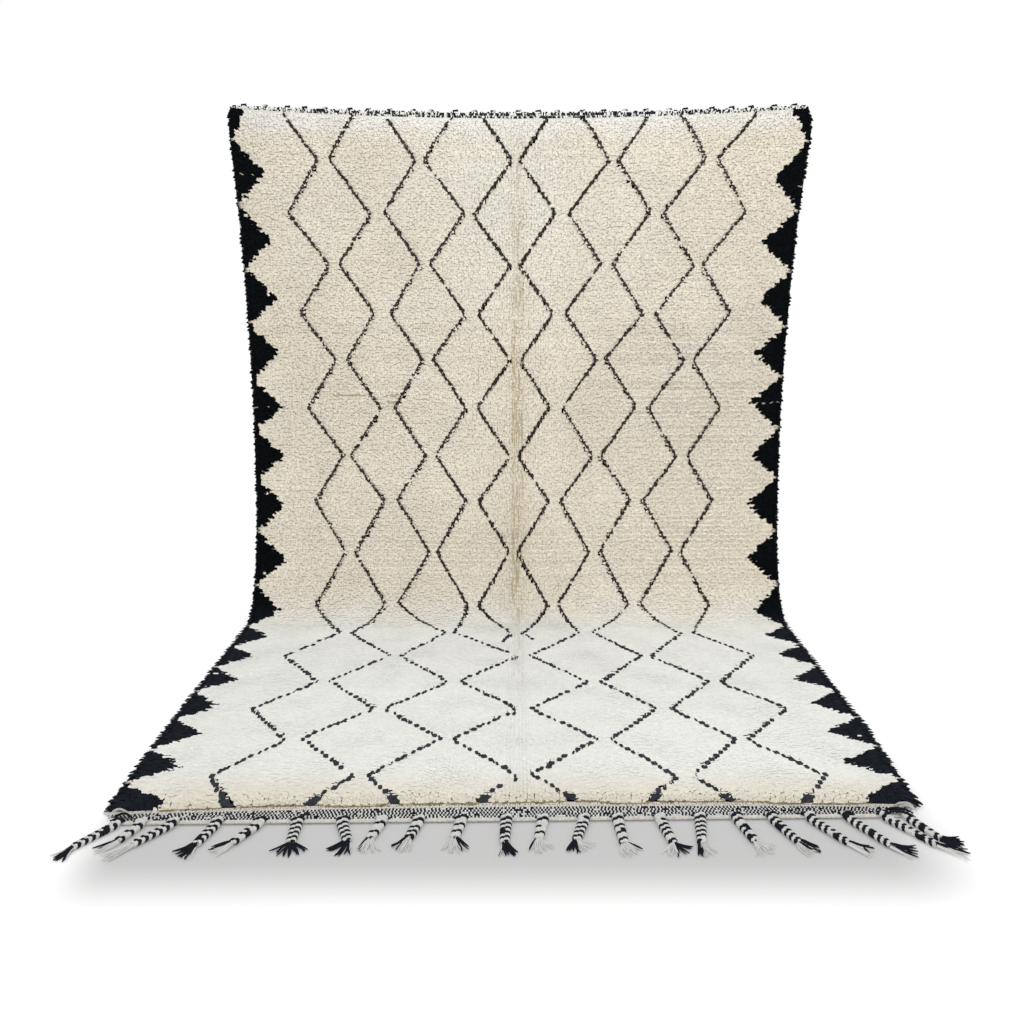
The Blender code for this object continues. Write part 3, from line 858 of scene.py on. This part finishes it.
def ground_colours(bm, knots, cream):
    """Each face of the ground in its knots' colour, and the bands in off-white."""
    blocks = (GROUND_ROWS, ROWS // GROUND_ROWS, GROUND_COLUMNS, COLUMNS // GROUND_COLUMNS)
    knots = knots.reshape(blocks).mean(axis=(1, 3)) >= 0.5
    cream = cream.reshape(*blocks, 3).mean(axis=(1, 3))
    colours = np.empty((len(bm.faces), 3))
    for i, face in enumerate(bm.faces):
        middle = face.calc_center_median()
        row = math.floor(middle.y / PILE_LENGTH * GROUND_ROWS - 0.01)
        column = math.floor((middle.x / RUG_WIDTH + 0.5) * GROUND_COLUMNS)
        column = min(max(column, 0), GROUND_COLUMNS - 1)
        if not 0 <= row < GROUND_ROWS:
            colours[i] = OFF_WHITE
        elif knots[row, column]:
            colours[i] = CHARCOAL
        else:
            colours[i] = cream[row, column] * 0.95
    return colours


# ---------------- bands, edges and side cords

STITCH = 0.00445  # width of one twined stitch
PLAIN_STRIP = 0.024  # plain weave between the pile and the twined band
STRIP_END = PILE_LENGTH + PLAIN_STRIP
BAND_END = PILE_LENGTH + BAND_BOTTOM
BAND_ROWS = 5
STITCH_SLANT = 0.0010  # how far a stitch leans, to the left and right by turns
SLANT_TURNS = 0.12
TOP_BAND_ROWS = 2
EDGE_WIDTH = 0.016
EDGE_CROWN = 0.008
TOP_EDGE = 0.006
CORD_RADIUS = 0.004
CORD_UNEVEN = 0.08
TURN = 0.0070  # along a side cord, from one turn of its winding to the next
CORD_SLANT = 0.0014
EDGE_RING = 0.004  # along a rolled edge, from one ring of its mesh to the next
EDGE_TWIST = 0.0135  # and from one turn of its twist to the next
EDGE_RIDGE = 0.07  # how deep the twist is, as a share of the edge's thickness


def black_or_white(dark, light=OFF_WHITE):
    # Dark yarns in charcoal with painted sheen
    return np.where(np.asarray(dark)[..., None], np.array(CHARCOAL_PAINTED_SHEEN) * 1.2, np.array(light))


def uneven(colours, spread, draw):
    """Colours that are each a little darker or lighter."""
    return colours * (1 + draw.normal(0, spread, colours.shape[:-1]))[..., None]


def twined(across, draw):
    """Which stitches are dark in the floor end's band: one by one, with a few mistakes."""
    turn = np.floor(across / STITCH) + np.arange(len(across))[:, None]
    return (turn % 2 == 0) ^ (draw.random(across.shape) < 0.02)


def scattered(across, draw):
    """Which stitches are dark at the hung edge: most in the middle, few at the sides."""
    return draw.random(across.shape) < 0.30 + 0.38 * bow(across)


def undyed(across, draw):
    return np.zeros(across.shape, bool)


def make_band(name, rows, near, far, pattern, light, stray, material, draw):
    """Rows of slanting stitches between two lines."""
    grid = (rows, round(RUG_WIDTH / STITCH))
    across = (np.arange(grid[1]) + 0.5) * STITCH - RUG_WIDTH / 2 + draw.normal(0, stray, grid)
    start, end = near(across), far(across)
    pitch = (end - start) / rows
    middle = start + pitch * (np.arange(rows)[:, None] + 0.5) + draw.normal(0, stray, grid)
    slant = STITCH_SLANT * np.sin(2 * math.pi * across / SLANT_TURNS) + draw.normal(0, stray, grid)
    dark = pattern(across * drawn_in(middle), draw)
    stations = np.array([-1.0, 0.0, 1.0])
    along = middle[..., None] + (0.46 * pitch)[..., None] * stations
    sideways = (across[..., None] + slant[..., None] * stations) * drawn_in(middle)[..., None]
    height = GROUND + 0.0010 + 0.0012 * (1 - np.abs(stations)) + 0 * along
    centres = np.stack([sideways, along, height], axis=-1)
    thick = (1 + 0.12 * dark + draw.normal(0, 60 * stray, grid))[..., None]
    thick = STITCH * np.array([0.36, 0.60, 0.36]) * thick
    colours = uneven(black_or_white(dark, light), 0.06, draw)
    lay_threads(name, centres, thick, colours, material, sides=3)


def make_rolled_edge(name, start, width, crown, half_length, light, speckled, material, draw):
    """The warp ends rolled into a cord beyond the band, with the twist that rolling leaves."""
    rings = round(2 * half_length / EDGE_RING)
    shape = strand_shape(8, rings)
    across = np.linspace(-half_length, half_length, rings)
    height = np.full(rings, crown / 2)
    centres = np.stack([across, start(across) + width / 2, height], axis=-1)[None]
    points = wrap_rings(shape, centres, width / 2, crown / 2)
    twist = np.sin(2 * math.pi * across[shape.ring] / EDGE_TWIST + shape.turn)
    away = points - centres[..., shape.ring, :]
    points = points + away * (EDGE_RIDGE * twist - EDGE_RIDGE)[None, :, None]
    # Brown along the side that turns under: partly brown yarn, partly painted contact shadow
    under = np.abs(np.degrees(shape.sides) % 360 - 202.5) < 10
    under = under * draw.uniform(0.4, 1.0, len(shape.sides))
    colours = blend(light, EDGE_BROWN_AND_SHADOW, under * (1 - speckled))
    spots = (draw.random(rings) < speckled)[shape.ring[shape.loops[shape.starts]]]
    colours = np.where(spots[:, None], CHARCOAL_PAINTED_SHEEN, colours)[None]
    colours = uneven(colours, 0.08, draw)
    join_strands(name, shape, points, colours, material, "FACE")


def make_side_cord(name, side, material, draw):
    """A cord down one side of the cloth, wound over with grey-speckled yarn."""
    top, bottom = -BAND_TOP_SIDE, PILE_LENGTH + BAND_BOTTOM
    turns = round((bottom - top) / TURN)
    rings = 2 * turns + 1
    shape = strand_shape(5, rings)
    widest = CORD_RADIUS * (1 + CORD_UNEVEN)
    along = np.linspace(top, bottom, rings)
    across = np.full(rings, side * (RUG_WIDTH / 2 + GAP + widest))
    centres = np.stack([across, along, np.full(rings, widest)], axis=-1)[None]
    swell = np.where(np.arange(rings) % 2 == 1, 1.0, 0.80) * (1 + draw.uniform(-0.06, 0.06, rings))
    points = wrap_rings(shape, centres, widest * swell, widest * swell)
    # The winding's slant: each ring is pushed along the cord by where it is around it
    points[..., 1] += CORD_SLANT * np.cos(shape.turn)
    points[..., 0] *= drawn_in(points[..., 1])
    yarn = draw.choice([0, 1, 2], turns + 1, p=[0.40, 0.35, 0.25])
    greys = np.array([CHARCOAL_PAINTED_SHEEN, OFF_WHITE, GREY])
    middle_ring = shape.ring[shape.loops[shape.starts]]
    colours = greys[yarn[np.clip(middle_ring // 2, 0, turns)]]
    winding = name + "_winding"
    cord = join_strands(winding, shape, points, colours, material, "FACE")
    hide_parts(name)


# Loose yarns at the pile's corners: where each one starts, bends over and ends, as across, along
# and height, then half its width, and whether it is dark
CORNER_YARNS = (
    ((-0.952, 3.078, 0.006), (-0.938, 3.040, 0.040), (-0.895, 3.080, 0.010), 0.0042, False),
    ((-0.938, 3.090, 0.008), (-0.920, 3.062, 0.030), (-0.893, 3.086, 0.010), 0.0040, True),
    ((0.908, 3.054, 0.007), (0.932, 3.034, 0.024), (0.952, 3.066, 0.006), 0.0048, False),
    ((0.916, 3.046, 0.008), (0.940, 3.050, 0.028), (0.958, 3.054, 0.006), 0.0042, False),
    ((0.920, 3.064, 0.007), (0.936, 3.050, 0.022), (0.962, 3.074, 0.006), 0.0040, False),
    ((0.940, 2.985, 0.014), (0.958, 2.990, 0.020), (0.982, 3.006, 0.008), 0.0050, True),
    ((0.935, 3.005, 0.014), (0.958, 3.012, 0.020), (0.984, 3.034, 0.006), 0.0055, True),
    ((0.935, 3.015, 0.014), (0.950, 3.028, 0.018), (0.975, 3.048, 0.006), 0.0045, True),
    ((0.885, 3.080, 0.012), (0.915, 3.080, 0.022), (0.945, 3.096, 0.010), 0.0045, True),
    ((0.890, 3.090, 0.012), (0.915, 3.096, 0.022), (0.945, 3.112, 0.010), 0.0045, True),
)
CORNER_YARN_TAPER = np.array([0.8, 1, 1, 1, 1, 1, 0.9, 0.5])

# The wavy tan line where the pile ends
FOOT_THREADS = 170
FOOT_HALF = 0.0034
FOOT_BEYOND = 0.009

# Thin tan threads along the crease
CREASE_THREADS = 260
CREASE_REACH = (0.15, 2.35)
CREASE_LANES = (-0.014, -0.007, 0.001, 0.009, 0.020)
CREASE_THREAD_HALF = 0.0011
CREASE_WAVE = 0.005
CREASE_WAVE_PITCH = 0.16
CREASE_FADE = (1.75, 1.95)  # along: from where the threads turn thin and pale


def lay_threads(name, centres, half, colours, material, sides=4, flatness=0.8):
    """One object of many thin threads along given centre lines."""
    shape = strand_shape(sides, centres.shape[-2])
    flat = wrap_rings(shape, centres, half, flatness * half)
    join_strands(name, shape, flat, colours, material)


def make_foot_line(knots, material, draw):
    """A wavy line of tan threads where the pile ends."""
    t = np.array([-0.5, 0.0, 0.5])
    across = np.linspace(-0.95, 0.95, FOOT_THREADS)[:, None]
    across = across + t * draw.uniform(0.012, 0.019, across.shape)
    along = PILE_LENGTH + FOOT_BEYOND + foot_wave(across)
    along = along + draw.normal(0, 0.0008, (FOOT_THREADS, 1))
    centres = np.stack([across, along, END_HEIGHT + 0.0004 + 0 * across], axis=-1)
    columns = np.clip(((across[:, 1] / RUG_WIDTH + 0.5) * COLUMNS).astype(int), 0, COLUMNS - 1)
    centres = centres[~knots[-2, columns]]
    count = len(centres)
    half = FOOT_HALF * draw.uniform(0.6, 1.3, (count, 1)) * np.array([0.5, 1.0, 0.5])
    colours = uneven(np.tile(FOOT_TAN, (count, 1)), 0.22, draw)
    lay_threads("foot_line", centres, half, colours, material)


def make_crease_threads(material, draw):
    """Thin tan threads along the crease down the middle, where the pile parts."""
    count = CREASE_THREADS
    middle = draw.uniform(*CREASE_REACH, count)
    lanes = draw.choice(CREASE_LANES, count) + draw.normal(0, 0.0015, count)
    t = np.array([-0.5, 0.0, 0.5])
    along = middle[:, None] + t * draw.uniform(0.02, 0.08, (count, 1))
    across = lanes[:, None] + draw.normal(0, 0.0006, (count, 3))
    across += CREASE_WAVE * soft_noise(along, CREASE_WAVE_PITCH / 2, CREASE_WAVE_PITCH, 1.5)
    centres = np.stack([across, along, pile_top(across, along) + 0.0004], axis=-1)
    half = CREASE_THREAD_HALF * draw.uniform(0.5, 1.1, (count, 1)) * np.array([0.4, 1.0, 0.4])
    fade = ease(middle, *CREASE_FADE)
    strong = np.exp(-(((middle - 1.35) / 0.55) ** 2)) * (1 - fade)
    half = half * (0.55 + 0.45 * strong)[:, None]
    colours = blend(CREASE_TAN, CREAM_FLOOR, 0.7 * fade)
    lay_threads("crease_threads", centres, half, colours, material)


def make_corner_yarns(material):
    t = np.linspace(0, 1, len(CORNER_YARN_TAPER))[None, :, None]
    start, middle, end, half, dark = (np.array(values) for values in zip(*CORNER_YARNS))
    start, middle, end = start[:, None], middle[:, None], end[:, None]
    centres = start * (1 - t) ** 2 + 2 * middle * t * (1 - t) + end * t**2
    half = half[:, None] * CORNER_YARN_TAPER
    lay_threads("corner_yarns", centres, half, black_or_white(dark), material)


# ---------------- plaits

PLAIT_WIDTH = 0.031
PLAIT_END = 0.025  # a plait's width at its loose ends
PLAIT_HEIGHT = 0.0125
CROSSING = 0.0084  # along a plait, from one chevron to the next
STRAND_HALF = 0.0053
STRAND_THICK = 0.0040
ARM_TURNED = 0.05  # share of the chevrons' arms that are dark for light, or light for dark
PLAIT_BEND = 0.009  # how soon a plait takes up its lean
TAIL = 0.0019  # half the thickness of a loose yarn

# Floor plaits, left to right: place across, lean from straight out in degrees, plaited length,
# the loose ends' lean, length and half their fan, the share of the plait that is dark, and the
# share of its loose yarns that are, with the side where those lie.
Plait = namedtuple("Plait", "across lean length tail_lean tail fan dark dark_tails dark_side")
FLOOR_PLAITS = (
    Plait(-0.926, -37, 0.106, -28, 0.046, 11, 0.50, 0.75, 0.0),
    Plait(-0.870, -23, 0.069, -44, 0.050, 12, 0.34, 0.20, -1.0),
    Plait(-0.797, -40, 0.099, -44, 0.066, 10, 0.50, 0.00, 0.0),
    Plait(-0.695, -16, 0.085, -34, 0.045, 26, 0.50, 0.85, -0.4),
    Plait(-0.596, -30, 0.087, -50, 0.046, 22, 0.30, 0.30, -1.0),
    Plait(-0.508, 2, 0.078, 8, 0.042, 62, 0.50, 1.00, 0.0),
    Plait(-0.404, 20, 0.077, -18, 0.046, 32, 0.50, 0.85, -0.5),
    Plait(-0.314, -16, 0.068, -4, 0.046, 28, 0.30, 0.15, -1.0),
    Plait(-0.228, -15, 0.066, -26, 0.045, 24, 0.45, 0.30, -1.0),
    Plait(-0.129, -11, 0.066, 4, 0.048, 36, 0.34, 0.20, 1.0),
    Plait(-0.024, -2, 0.086, 16, 0.044, 18, 0.50, 0.85, 0.3),
    Plait(0.062, -10, 0.073, 10, 0.044, 36, 0.34, 0.05, -1.0),
    Plait(0.159, -17, 0.081, 20, 0.040, 54, 0.50, 0.40, -0.8),
    Plait(0.239, 4, 0.090, 24, 0.042, 38, 0.34, 0.08, 1.0),
    Plait(0.340, 11, 0.094, 14, 0.042, 52, 0.45, 0.42, 1.0),
    Plait(0.434, -8, 0.094, 12, 0.042, 24, 0.50, 0.30, -1.0),
    Plait(0.522, 16, 0.091, 38, 0.048, 28, 0.40, 0.00, 0.0),
    Plait(0.606, 23, 0.101, 40, 0.048, 26, 0.50, 0.40, 0.9),
    Plait(0.696, 33, 0.113, 54, 0.056, 16, 0.50, 0.25, 1.0),
    Plait(0.787, 31, 0.125, 60, 0.058, 14, 0.55, 0.55, 0.4),
    Plait(0.876, 37, 0.136, 66, 0.068, 14, 0.50, 0.40, 1.0),
    Plait(0.928, 28, 0.095, 76, 0.052, 18, 0.55, 0.85, 0.0),
)
TOP_PLAITS = 27
TOP_STRAY = 0.009
TOP_TURN = 0.0045  # radius at which a plait turns over the top edge
TOP_AXIS = -0.0034  # height about which it turns, above the cloth's back
TOP_SLANT = 0.02  # how fast it leaves the cloth as it hangs
TOP_GIRTH = (0.9, 0.86)  # how thick its strands are, as shares of the floor plaits'
TOP_FRONT = 0.010  # how far down the front a plait starts
TOP_HANG = 0.088
TOP_TAIL = 0.048
TOP_YARNS = 6
PLAIT_RINGS = 46
TOP_RINGS = 28
YARNS = 14  # loose yarns at a plait's end
YARN_TAPER = np.array([1.0, 1.05, 1, 0.95, 0.8, 0.4])
YARN_GIRTHS = (1.5, 0.85)  # of the dark ones and the others, as shares of TAIL
YARN_CURL = 26  # degrees
YARN_SPREAD = 0.0065  # half the width over which they leave the plait
YARN_STRAY = 0.0012  # how unevenly high they do
TUFT_HALF = 0.0045  # dark tufts beside each plait's root


def braid(path, outward, width, height):
    """Centre lines of three strands crossing over each other along a path, and their phases."""
    step = np.linalg.norm(np.diff(path, axis=-2), axis=-1)
    run = np.concatenate([np.zeros((*step.shape[:-1], 1)), np.cumsum(step, axis=-1)], axis=-1)
    right, outward = around(path, outward)
    phase = 2 * math.pi * run[..., None, :] / (3 * CROSSING)
    phase = phase + 2 * math.pi * np.arange(3)[:, None] / 3
    off = (width / 2 - STRAND_HALF) * np.sin(phase)
    rise = (height / 2 - STRAND_THICK) * np.sin(2 * phase)
    centres = path[..., None, :, :] + right[..., None, :, :] * off[..., None]
    return centres + outward[..., None, :, :] * rise[..., None], phase


def strand_colours(shape, phase, dark_shares, draw):
    """Yarns of both colours run in each strand and show by turns, so that they make chevrons."""
    ring = np.minimum.reduceat(shape.ring[shape.loops], shape.starts)
    arm = np.floor(phase[..., ring] / math.pi + 0.25).astype(int)
    crossing = 3 * (arm // 2) - np.arange(3)[:, None] + arm % 2
    share = np.asarray(dark_shares)[:, None, None]
    start = draw.random(share.shape)
    dark = np.floor((crossing + 1) * share + start) > np.floor(crossing * share + start)
    turned = draw.random((len(share), np.ptp(crossing) + 1, 2)) < ARM_TURNED
    dark = dark ^ turned[np.arange(len(share))[:, None, None], crossing - crossing.min(), arm % 2]
    return uneven(black_or_white(dark & (shape.sides != END)), 0.04, draw)


def floor_path(plait):
    """A floor plait's centre line: over the rolled edge, down, and out over the floor."""
    over = EDGE_WIDTH - 0.005
    along = PILE_LENGTH + BAND_BOTTOM + EDGE_WIDTH
    run = np.linspace(-over, plait.length, PLAIT_RINGS)
    pitch = run[1] - run[0]
    lean = math.radians(plait.lean) * np.clip((run / PLAIT_BEND + 1) / 3, 0, 1)
    start = np.searchsorted(run, 0)
    across = np.cumsum(np.sin(lean)) * pitch
    forward = np.cumsum(np.cos(lean)) * pitch
    across += plait.across - across[start]
    forward += along - forward[start]
    hump = np.exp(-(((run + 0.008) / 0.014) ** 2))
    height = PLAIT_HEIGHT / 2 + 0.0005 + 0.0050 * hump
    return np.stack([across, forward, height], axis=-1)


def loose_ends(path_end, lean, length, fan, dark_share, dark_side, draw):
    """Yarns that fan out from a plait's end: their centre lines, girths, and which are dark."""
    share = np.linspace(-1, 1, YARNS)
    angle = np.radians(lean + fan * share + draw.normal(0, 4, YARNS))
    reach = length * (1 - 0.10 * share**2 + draw.normal(0, 0.07, YARNS))
    t = np.linspace(0, 1, len(YARN_TAPER))
    curl = np.radians(draw.normal(0, YARN_CURL, YARNS))
    turned = angle[:, None] + curl[:, None] * (t - 0.3)
    step = (reach / (len(t) - 1))[:, None] * np.ones(len(t))
    step[:, 0] = 0
    off, lean = (share * YARN_SPREAD)[:, None], math.radians(lean)
    across = np.cumsum(np.sin(turned) * step, axis=1) + path_end[0] + off * math.cos(lean)
    along = np.cumsum(np.cos(turned) * step, axis=1) + path_end[1] - off * math.sin(lean)
    # They come down from the plait to the floor, and lie on it and on each other
    low = TAIL * 1.05
    start = path_end[2] + draw.normal(0, YARN_STRAY, YARNS)
    layer = low + draw.uniform(0, 0.003, YARNS)
    down = ease(t, 0, 0.75)
    height = np.maximum(start[:, None] * (1 - down) + layer[:, None] * down, low)
    centres = np.stack([across, along, height], axis=-1)
    order = np.argsort(np.abs(share - dark_side) + draw.normal(0, 0.15, YARNS))
    dark = np.zeros(YARNS, bool)
    dark[order[: round(dark_share * YARNS)]] = True
    girth = TAIL * (1 + draw.normal(0, 0.1, YARNS)) * np.where(dark, *YARN_GIRTHS)
    return centres, girth[:, None] * YARN_TAPER, dark


def make_floor_fringe(material, draw):
    """Plaits and loose ends beyond the floor end's rolled edge."""
    shape = strand_shape(6, PLAIT_RINGS)
    paths = np.stack([floor_path(p) for p in FLOOR_PLAITS])
    width = np.linspace(PLAIT_WIDTH, PLAIT_END, PLAIT_RINGS)
    centres, phase = braid(paths, (0, 0, 1), width, PLAIT_HEIGHT)
    slim = np.linspace(1.05, 0.95, PLAIT_RINGS)
    slim[-1], slim[-2] = 0.72, 0.9
    flat = wrap_rings(shape, centres, STRAND_HALF * slim, STRAND_THICK * slim)
    colours = strand_colours(shape, phase, [p.dark for p in FLOOR_PLAITS], draw)
    plaits = join_strands("floor_plaits", shape, flat, colours, material, "FACE")
    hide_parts("fringe_bottom")
    parts = [
        loose_ends(path[-1], p.tail_lean, p.tail, p.fan, p.dark_tails, p.dark_side, draw)
        for path, p in zip(paths, FLOOR_PLAITS)
    ]
    make_yarns("floor_loose_ends", parts, material, draw)
    make_tufts(material, draw)


def make_tufts(material, draw):
    """Dark ends of yarn that stick out on both sides of each plait's root."""
    sides = np.array([-1, 1])
    roots = np.array([p.across for p in FLOOR_PLAITS])[:, None] + sides * PLAIT_WIDTH * 0.45
    lengths = draw.uniform(0.3, 1.0, roots.shape)
    t = np.array([0.0, 0.5, 1.0])
    across = roots[..., None] + (sides * 0.005 * lengths)[..., None] * t
    along = PILE_LENGTH + BAND_BOTTOM + draw.uniform(0.001, 0.005, roots.shape)[..., None]
    along = along + 0.006 * lengths[..., None] * t
    centres = np.stack([across, along, EDGE_CROWN + 0.001 + 0 * across], axis=-1)
    half = TUFT_HALF * lengths[..., None] * np.array([0.7, 1.0, 0.4])
    colours = black_or_white(np.ones(roots.shape, bool))
    lay_threads("root_tufts", centres, half, colours, material, flatness=0.6)


def make_yarns(name, parts, material, draw):
    """Loose yarns of many plaits, as one piece."""
    centres, half, dark = (np.stack(values) for values in zip(*parts))
    colours = uneven(black_or_white(dark), 0.06, draw)
    lay_threads(name, centres, half, colours, material, flatness=1.0)


def make_hung_fringe(material, draw):
    """Plaits that turn back over the top edge and hang behind the cloth."""
    places = random.Random(27)
    middles = (np.arange(TOP_PLAITS) + 0.5) * (RUG_WIDTH / TOP_PLAITS) - RUG_WIDTH / 2
    across = middles + [places.uniform(-TOP_STRAY, TOP_STRAY) for _ in middles]
    arc = math.pi * TOP_TURN
    run = np.linspace(-TOP_FRONT, arc + TOP_HANG, TOP_RINGS)
    angle = np.clip(run / TOP_TURN, 0, math.pi)
    along = -TOP_TURN * np.sin(angle) - np.minimum(run, 0) + np.maximum(run - arc, 0)
    height = TOP_AXIS + TOP_TURN * np.cos(angle) - TOP_SLANT * np.maximum(run - arc, 0)
    outward = np.stack([0 * angle, -np.sin(angle), np.cos(angle)], axis=-1)
    drift = draw.normal(0, 0.003, TOP_PLAITS)[:, None] * np.maximum(run, 0) / TOP_HANG
    along = along - (band_top(across) + GAP + TOP_EDGE)[:, None]
    path = np.stack([across[:, None] + drift, along, height + 0 * drift], axis=-1)
    centres, phase = braid(path, outward, PLAIT_END, PLAIT_HEIGHT * TOP_GIRTH[1])
    shape = strand_shape(5, TOP_RINGS)
    half, thick = STRAND_HALF * TOP_GIRTH[0], STRAND_THICK * TOP_GIRTH[1]
    flat = wrap_rings(shape, centres, half, thick, outward)
    colours = strand_colours(shape, phase, draw.uniform(0.45, 0.95, TOP_PLAITS), draw)
    plaits = join_strands("hung_plaits", shape, flat, colours, material, "FACE")
    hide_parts("fringe_top")
    parts = []
    for line in path:
        ends = loose_ends(line[-1], 0, TOP_TAIL, 8, draw.random(), 0, draw)
        centres, half, dark = (values[:TOP_YARNS] for values in ends)
        centres[..., 2] = line[-1][2] + draw.normal(0, YARN_STRAY, (TOP_YARNS, 1))
        parts.append((centres, half, dark))
    make_yarns("hung_loose_ends", parts, material, draw)


# ---------------- stage, light and camera

CAMERA_HEIGHT = 1.203
CAMERA_BACK = 2.985  # in front of the line where the cloth meets the floor
CAMERA_PITCH = 14.39
FOCAL = 31.15  # on a sensor 36 mm wide
SHIFT = -0.0044
ROOM_LIGHT = (0.44, 1.04)  # level with the horizon, and straight above
FLOOR_WHITE = (0.74, 0.74, 0.74, 1)
# The floor's painted shadow colour
FLOOR_PAINTED_SHADOW = (0.375, 0.375, 0.375, 1)
FLOOR_GLOW = 0.54
# Where the shadow painted on the floor begins and is full, on its front, left and right
PAINTED_SHADOW_EDGES = (("Y", (-1.090, -0.845)), ("X", (-1.040, -0.865)), ("X", (1.070, 0.775)))


def add_area(name, place, aim, size, power):
    """A soft rectangular lamp aimed at a point."""
    lamp = bpy.data.lights.new(name, "AREA")
    lamp.shape = "RECTANGLE"
    lamp.size, lamp.size_y = size
    lamp.energy = power
    ob = add_object(name, lamp)
    ob.location = place
    ob.rotation_euler = (Vector(aim) - Vector(place)).to_track_quat("-Z", "Y").to_euler()


def make_floor():
    """A plain white floor, with a soft shadow painted into its colour and glow before the rug's
    end.
    """
    bm = bmesh.new()
    below = Matrix.Translation((0, 0, -GAP))
    bmesh.ops.create_grid(bm, x_segments=1, y_segments=1, size=60, matrix=below)
    mesh = bpy.data.meshes.new("floor")
    bm.to_mesh(mesh)
    bm.free()
    floor = add_object("floor", mesh)
    material, tree, shader, _, place = start_material("white_floor", 1.0, 0.0)
    edges = [
        map_range(tree, place, axis, before, (0, 1), smooth=True) for axis, before in PAINTED_SHADOW_EDGES
    ]
    shade = edges[0]
    for edge in edges[1:]:
        both = new_node(tree, "Math", "MULTIPLY")
        link(tree, shade, 0, both, 0)
        link(tree, edge, 0, both, 1)
        shade = both
    # Painted shadow: the floor's colour and glow darken before the rug's end
    paint = tree.nodes.new("ShaderNodeMix")
    paint.data_type = "RGBA"
    paint.inputs["A"].default_value = FLOOR_WHITE
    paint.inputs["B"].default_value = FLOOR_PAINTED_SHADOW
    link(tree, shade, 0, paint, "Factor")
    link(tree, paint, "Result", shader, "Base Color")
    link(tree, paint, "Result", shader, "Emission Color")
    shader.inputs["Emission Strength"].default_value = FLOOR_GLOW
    mesh.materials.append(material)


def make_world():
    """White all round to the eye. As light it is softer, and strongest from straight above."""
    world = bpy.data.worlds.new("white_room")
    bpy.context.scene.world = world
    world.use_nodes = True
    tree = world.node_tree
    room = tree.nodes["Background"]
    room.inputs["Color"].default_value = (1, 1, 1, 1)
    coordinates = new_node(tree, "TexCoord")
    way = new_node(tree, "SeparateXYZ")
    link(tree, coordinates, "Generated", way, "Vector")
    overhead = map_range(tree, way, "Z", (0, 1), ROOM_LIGHT)
    link(tree, overhead, "Result", room, "Strength")
    seen = new_node(tree, "Background", Color=(1, 1, 1, 1), Strength=1.0)
    path = new_node(tree, "LightPath")
    mix = new_node(tree, "MixShader")
    link(tree, path, "Is Camera Ray", mix, 0)
    link(tree, room, "Background", mix, 1)
    link(tree, seen, "Background", mix, 2)
    link(tree, mix, "Shader", tree.nodes["World Output"], "Surface")


def make_camera():
    """The photograph's view."""
    camera = bpy.data.cameras.new("camera")
    camera.sensor_width = 36
    camera.lens = FOCAL
    camera.shift_x = SHIFT
    ob = add_object("camera", camera)
    ob.location = (CREASE_X, TOUCH_Y - CAMERA_BACK, CAMERA_HEIGHT)
    ob.rotation_euler = (math.radians(90 - CAMERA_PITCH), 0, 0)
    bpy.context.scene.camera = ob


make_camera()
make_world()
make_floor()
add_area("overhead", place=(0.15, -0.5, 2.3), aim=(0.05, 0.35, 0.1), size=(3.0, 1.2), power=17)
bpy.context.scene.view_settings.view_transform = "Standard"
bpy.context.scene.view_settings.look = "None"

pile_wool = wool_material("pile_wool", 200, 0.15, 0.0010, calm=0.6)
ground_wool = wool_material("ground_wool", 420, 0.10, 0.0008)
yarn_wool = wool_material("yarn_wool", 900, 0.12, 0.0006)

draw = np.random.default_rng(19)
knots, cream = make_pile(pile_wool, draw)
ground = make_ground(ground_wool, knots, cream)
# Name, rows, where they begin and end, which stitches are dark, the others' colour, unevenness
for band in (
    ("floor_band", BAND_ROWS, lambda a: 0 * a + STRIP_END, lambda a: 0 * a + BAND_END + 0.001,
     twined, OFF_WHITE, 0.0003),
    ("plain_strip", 2, lambda a: 0 * a + PILE_LENGTH + 0.006, lambda a: 0 * a + STRIP_END,
     undyed, STRIP_CREAM, 0.0008),
    ("hung_band", TOP_BAND_ROWS, lambda a: -band_top(a) - 0.003, lambda a: 0 * a + 0.001,
     scattered, CREAM_TOP, 0.0012),
):
    make_band(*band, yarn_wool, draw)
# Name, where it begins, width, height, half its length, colour, and share of dark speckles
floor_half, hung_half = RUG_WIDTH / 2 * (1 - DRAWN_IN) - 0.005, RUG_WIDTH / 2 - 0.002
for edge in (
    ("floor_rolled_edge", lambda a: 0 * a + BAND_END + GAP, EDGE_WIDTH, EDGE_CROWN, floor_half,
     EDGE_CREAM, 0),
    ("hung_rolled_edge", lambda a: -(band_top(a) + GAP + TOP_EDGE), TOP_EDGE, TOP_EDGE, hung_half,
     CREAM_TOP, 0.4),
):
    make_rolled_edge(*edge, yarn_wool, draw)
make_foot_line(knots, pile_wool, draw)
make_crease_threads(pile_wool, draw)
make_corner_yarns(yarn_wool)
make_side_cord("selvedge_left", -1, yarn_wool, draw)
make_side_cord("selvedge_right", 1, yarn_wool, draw)
make_floor_fringe(yarn_wool, draw)
make_hung_fringe(yarn_wool, draw)
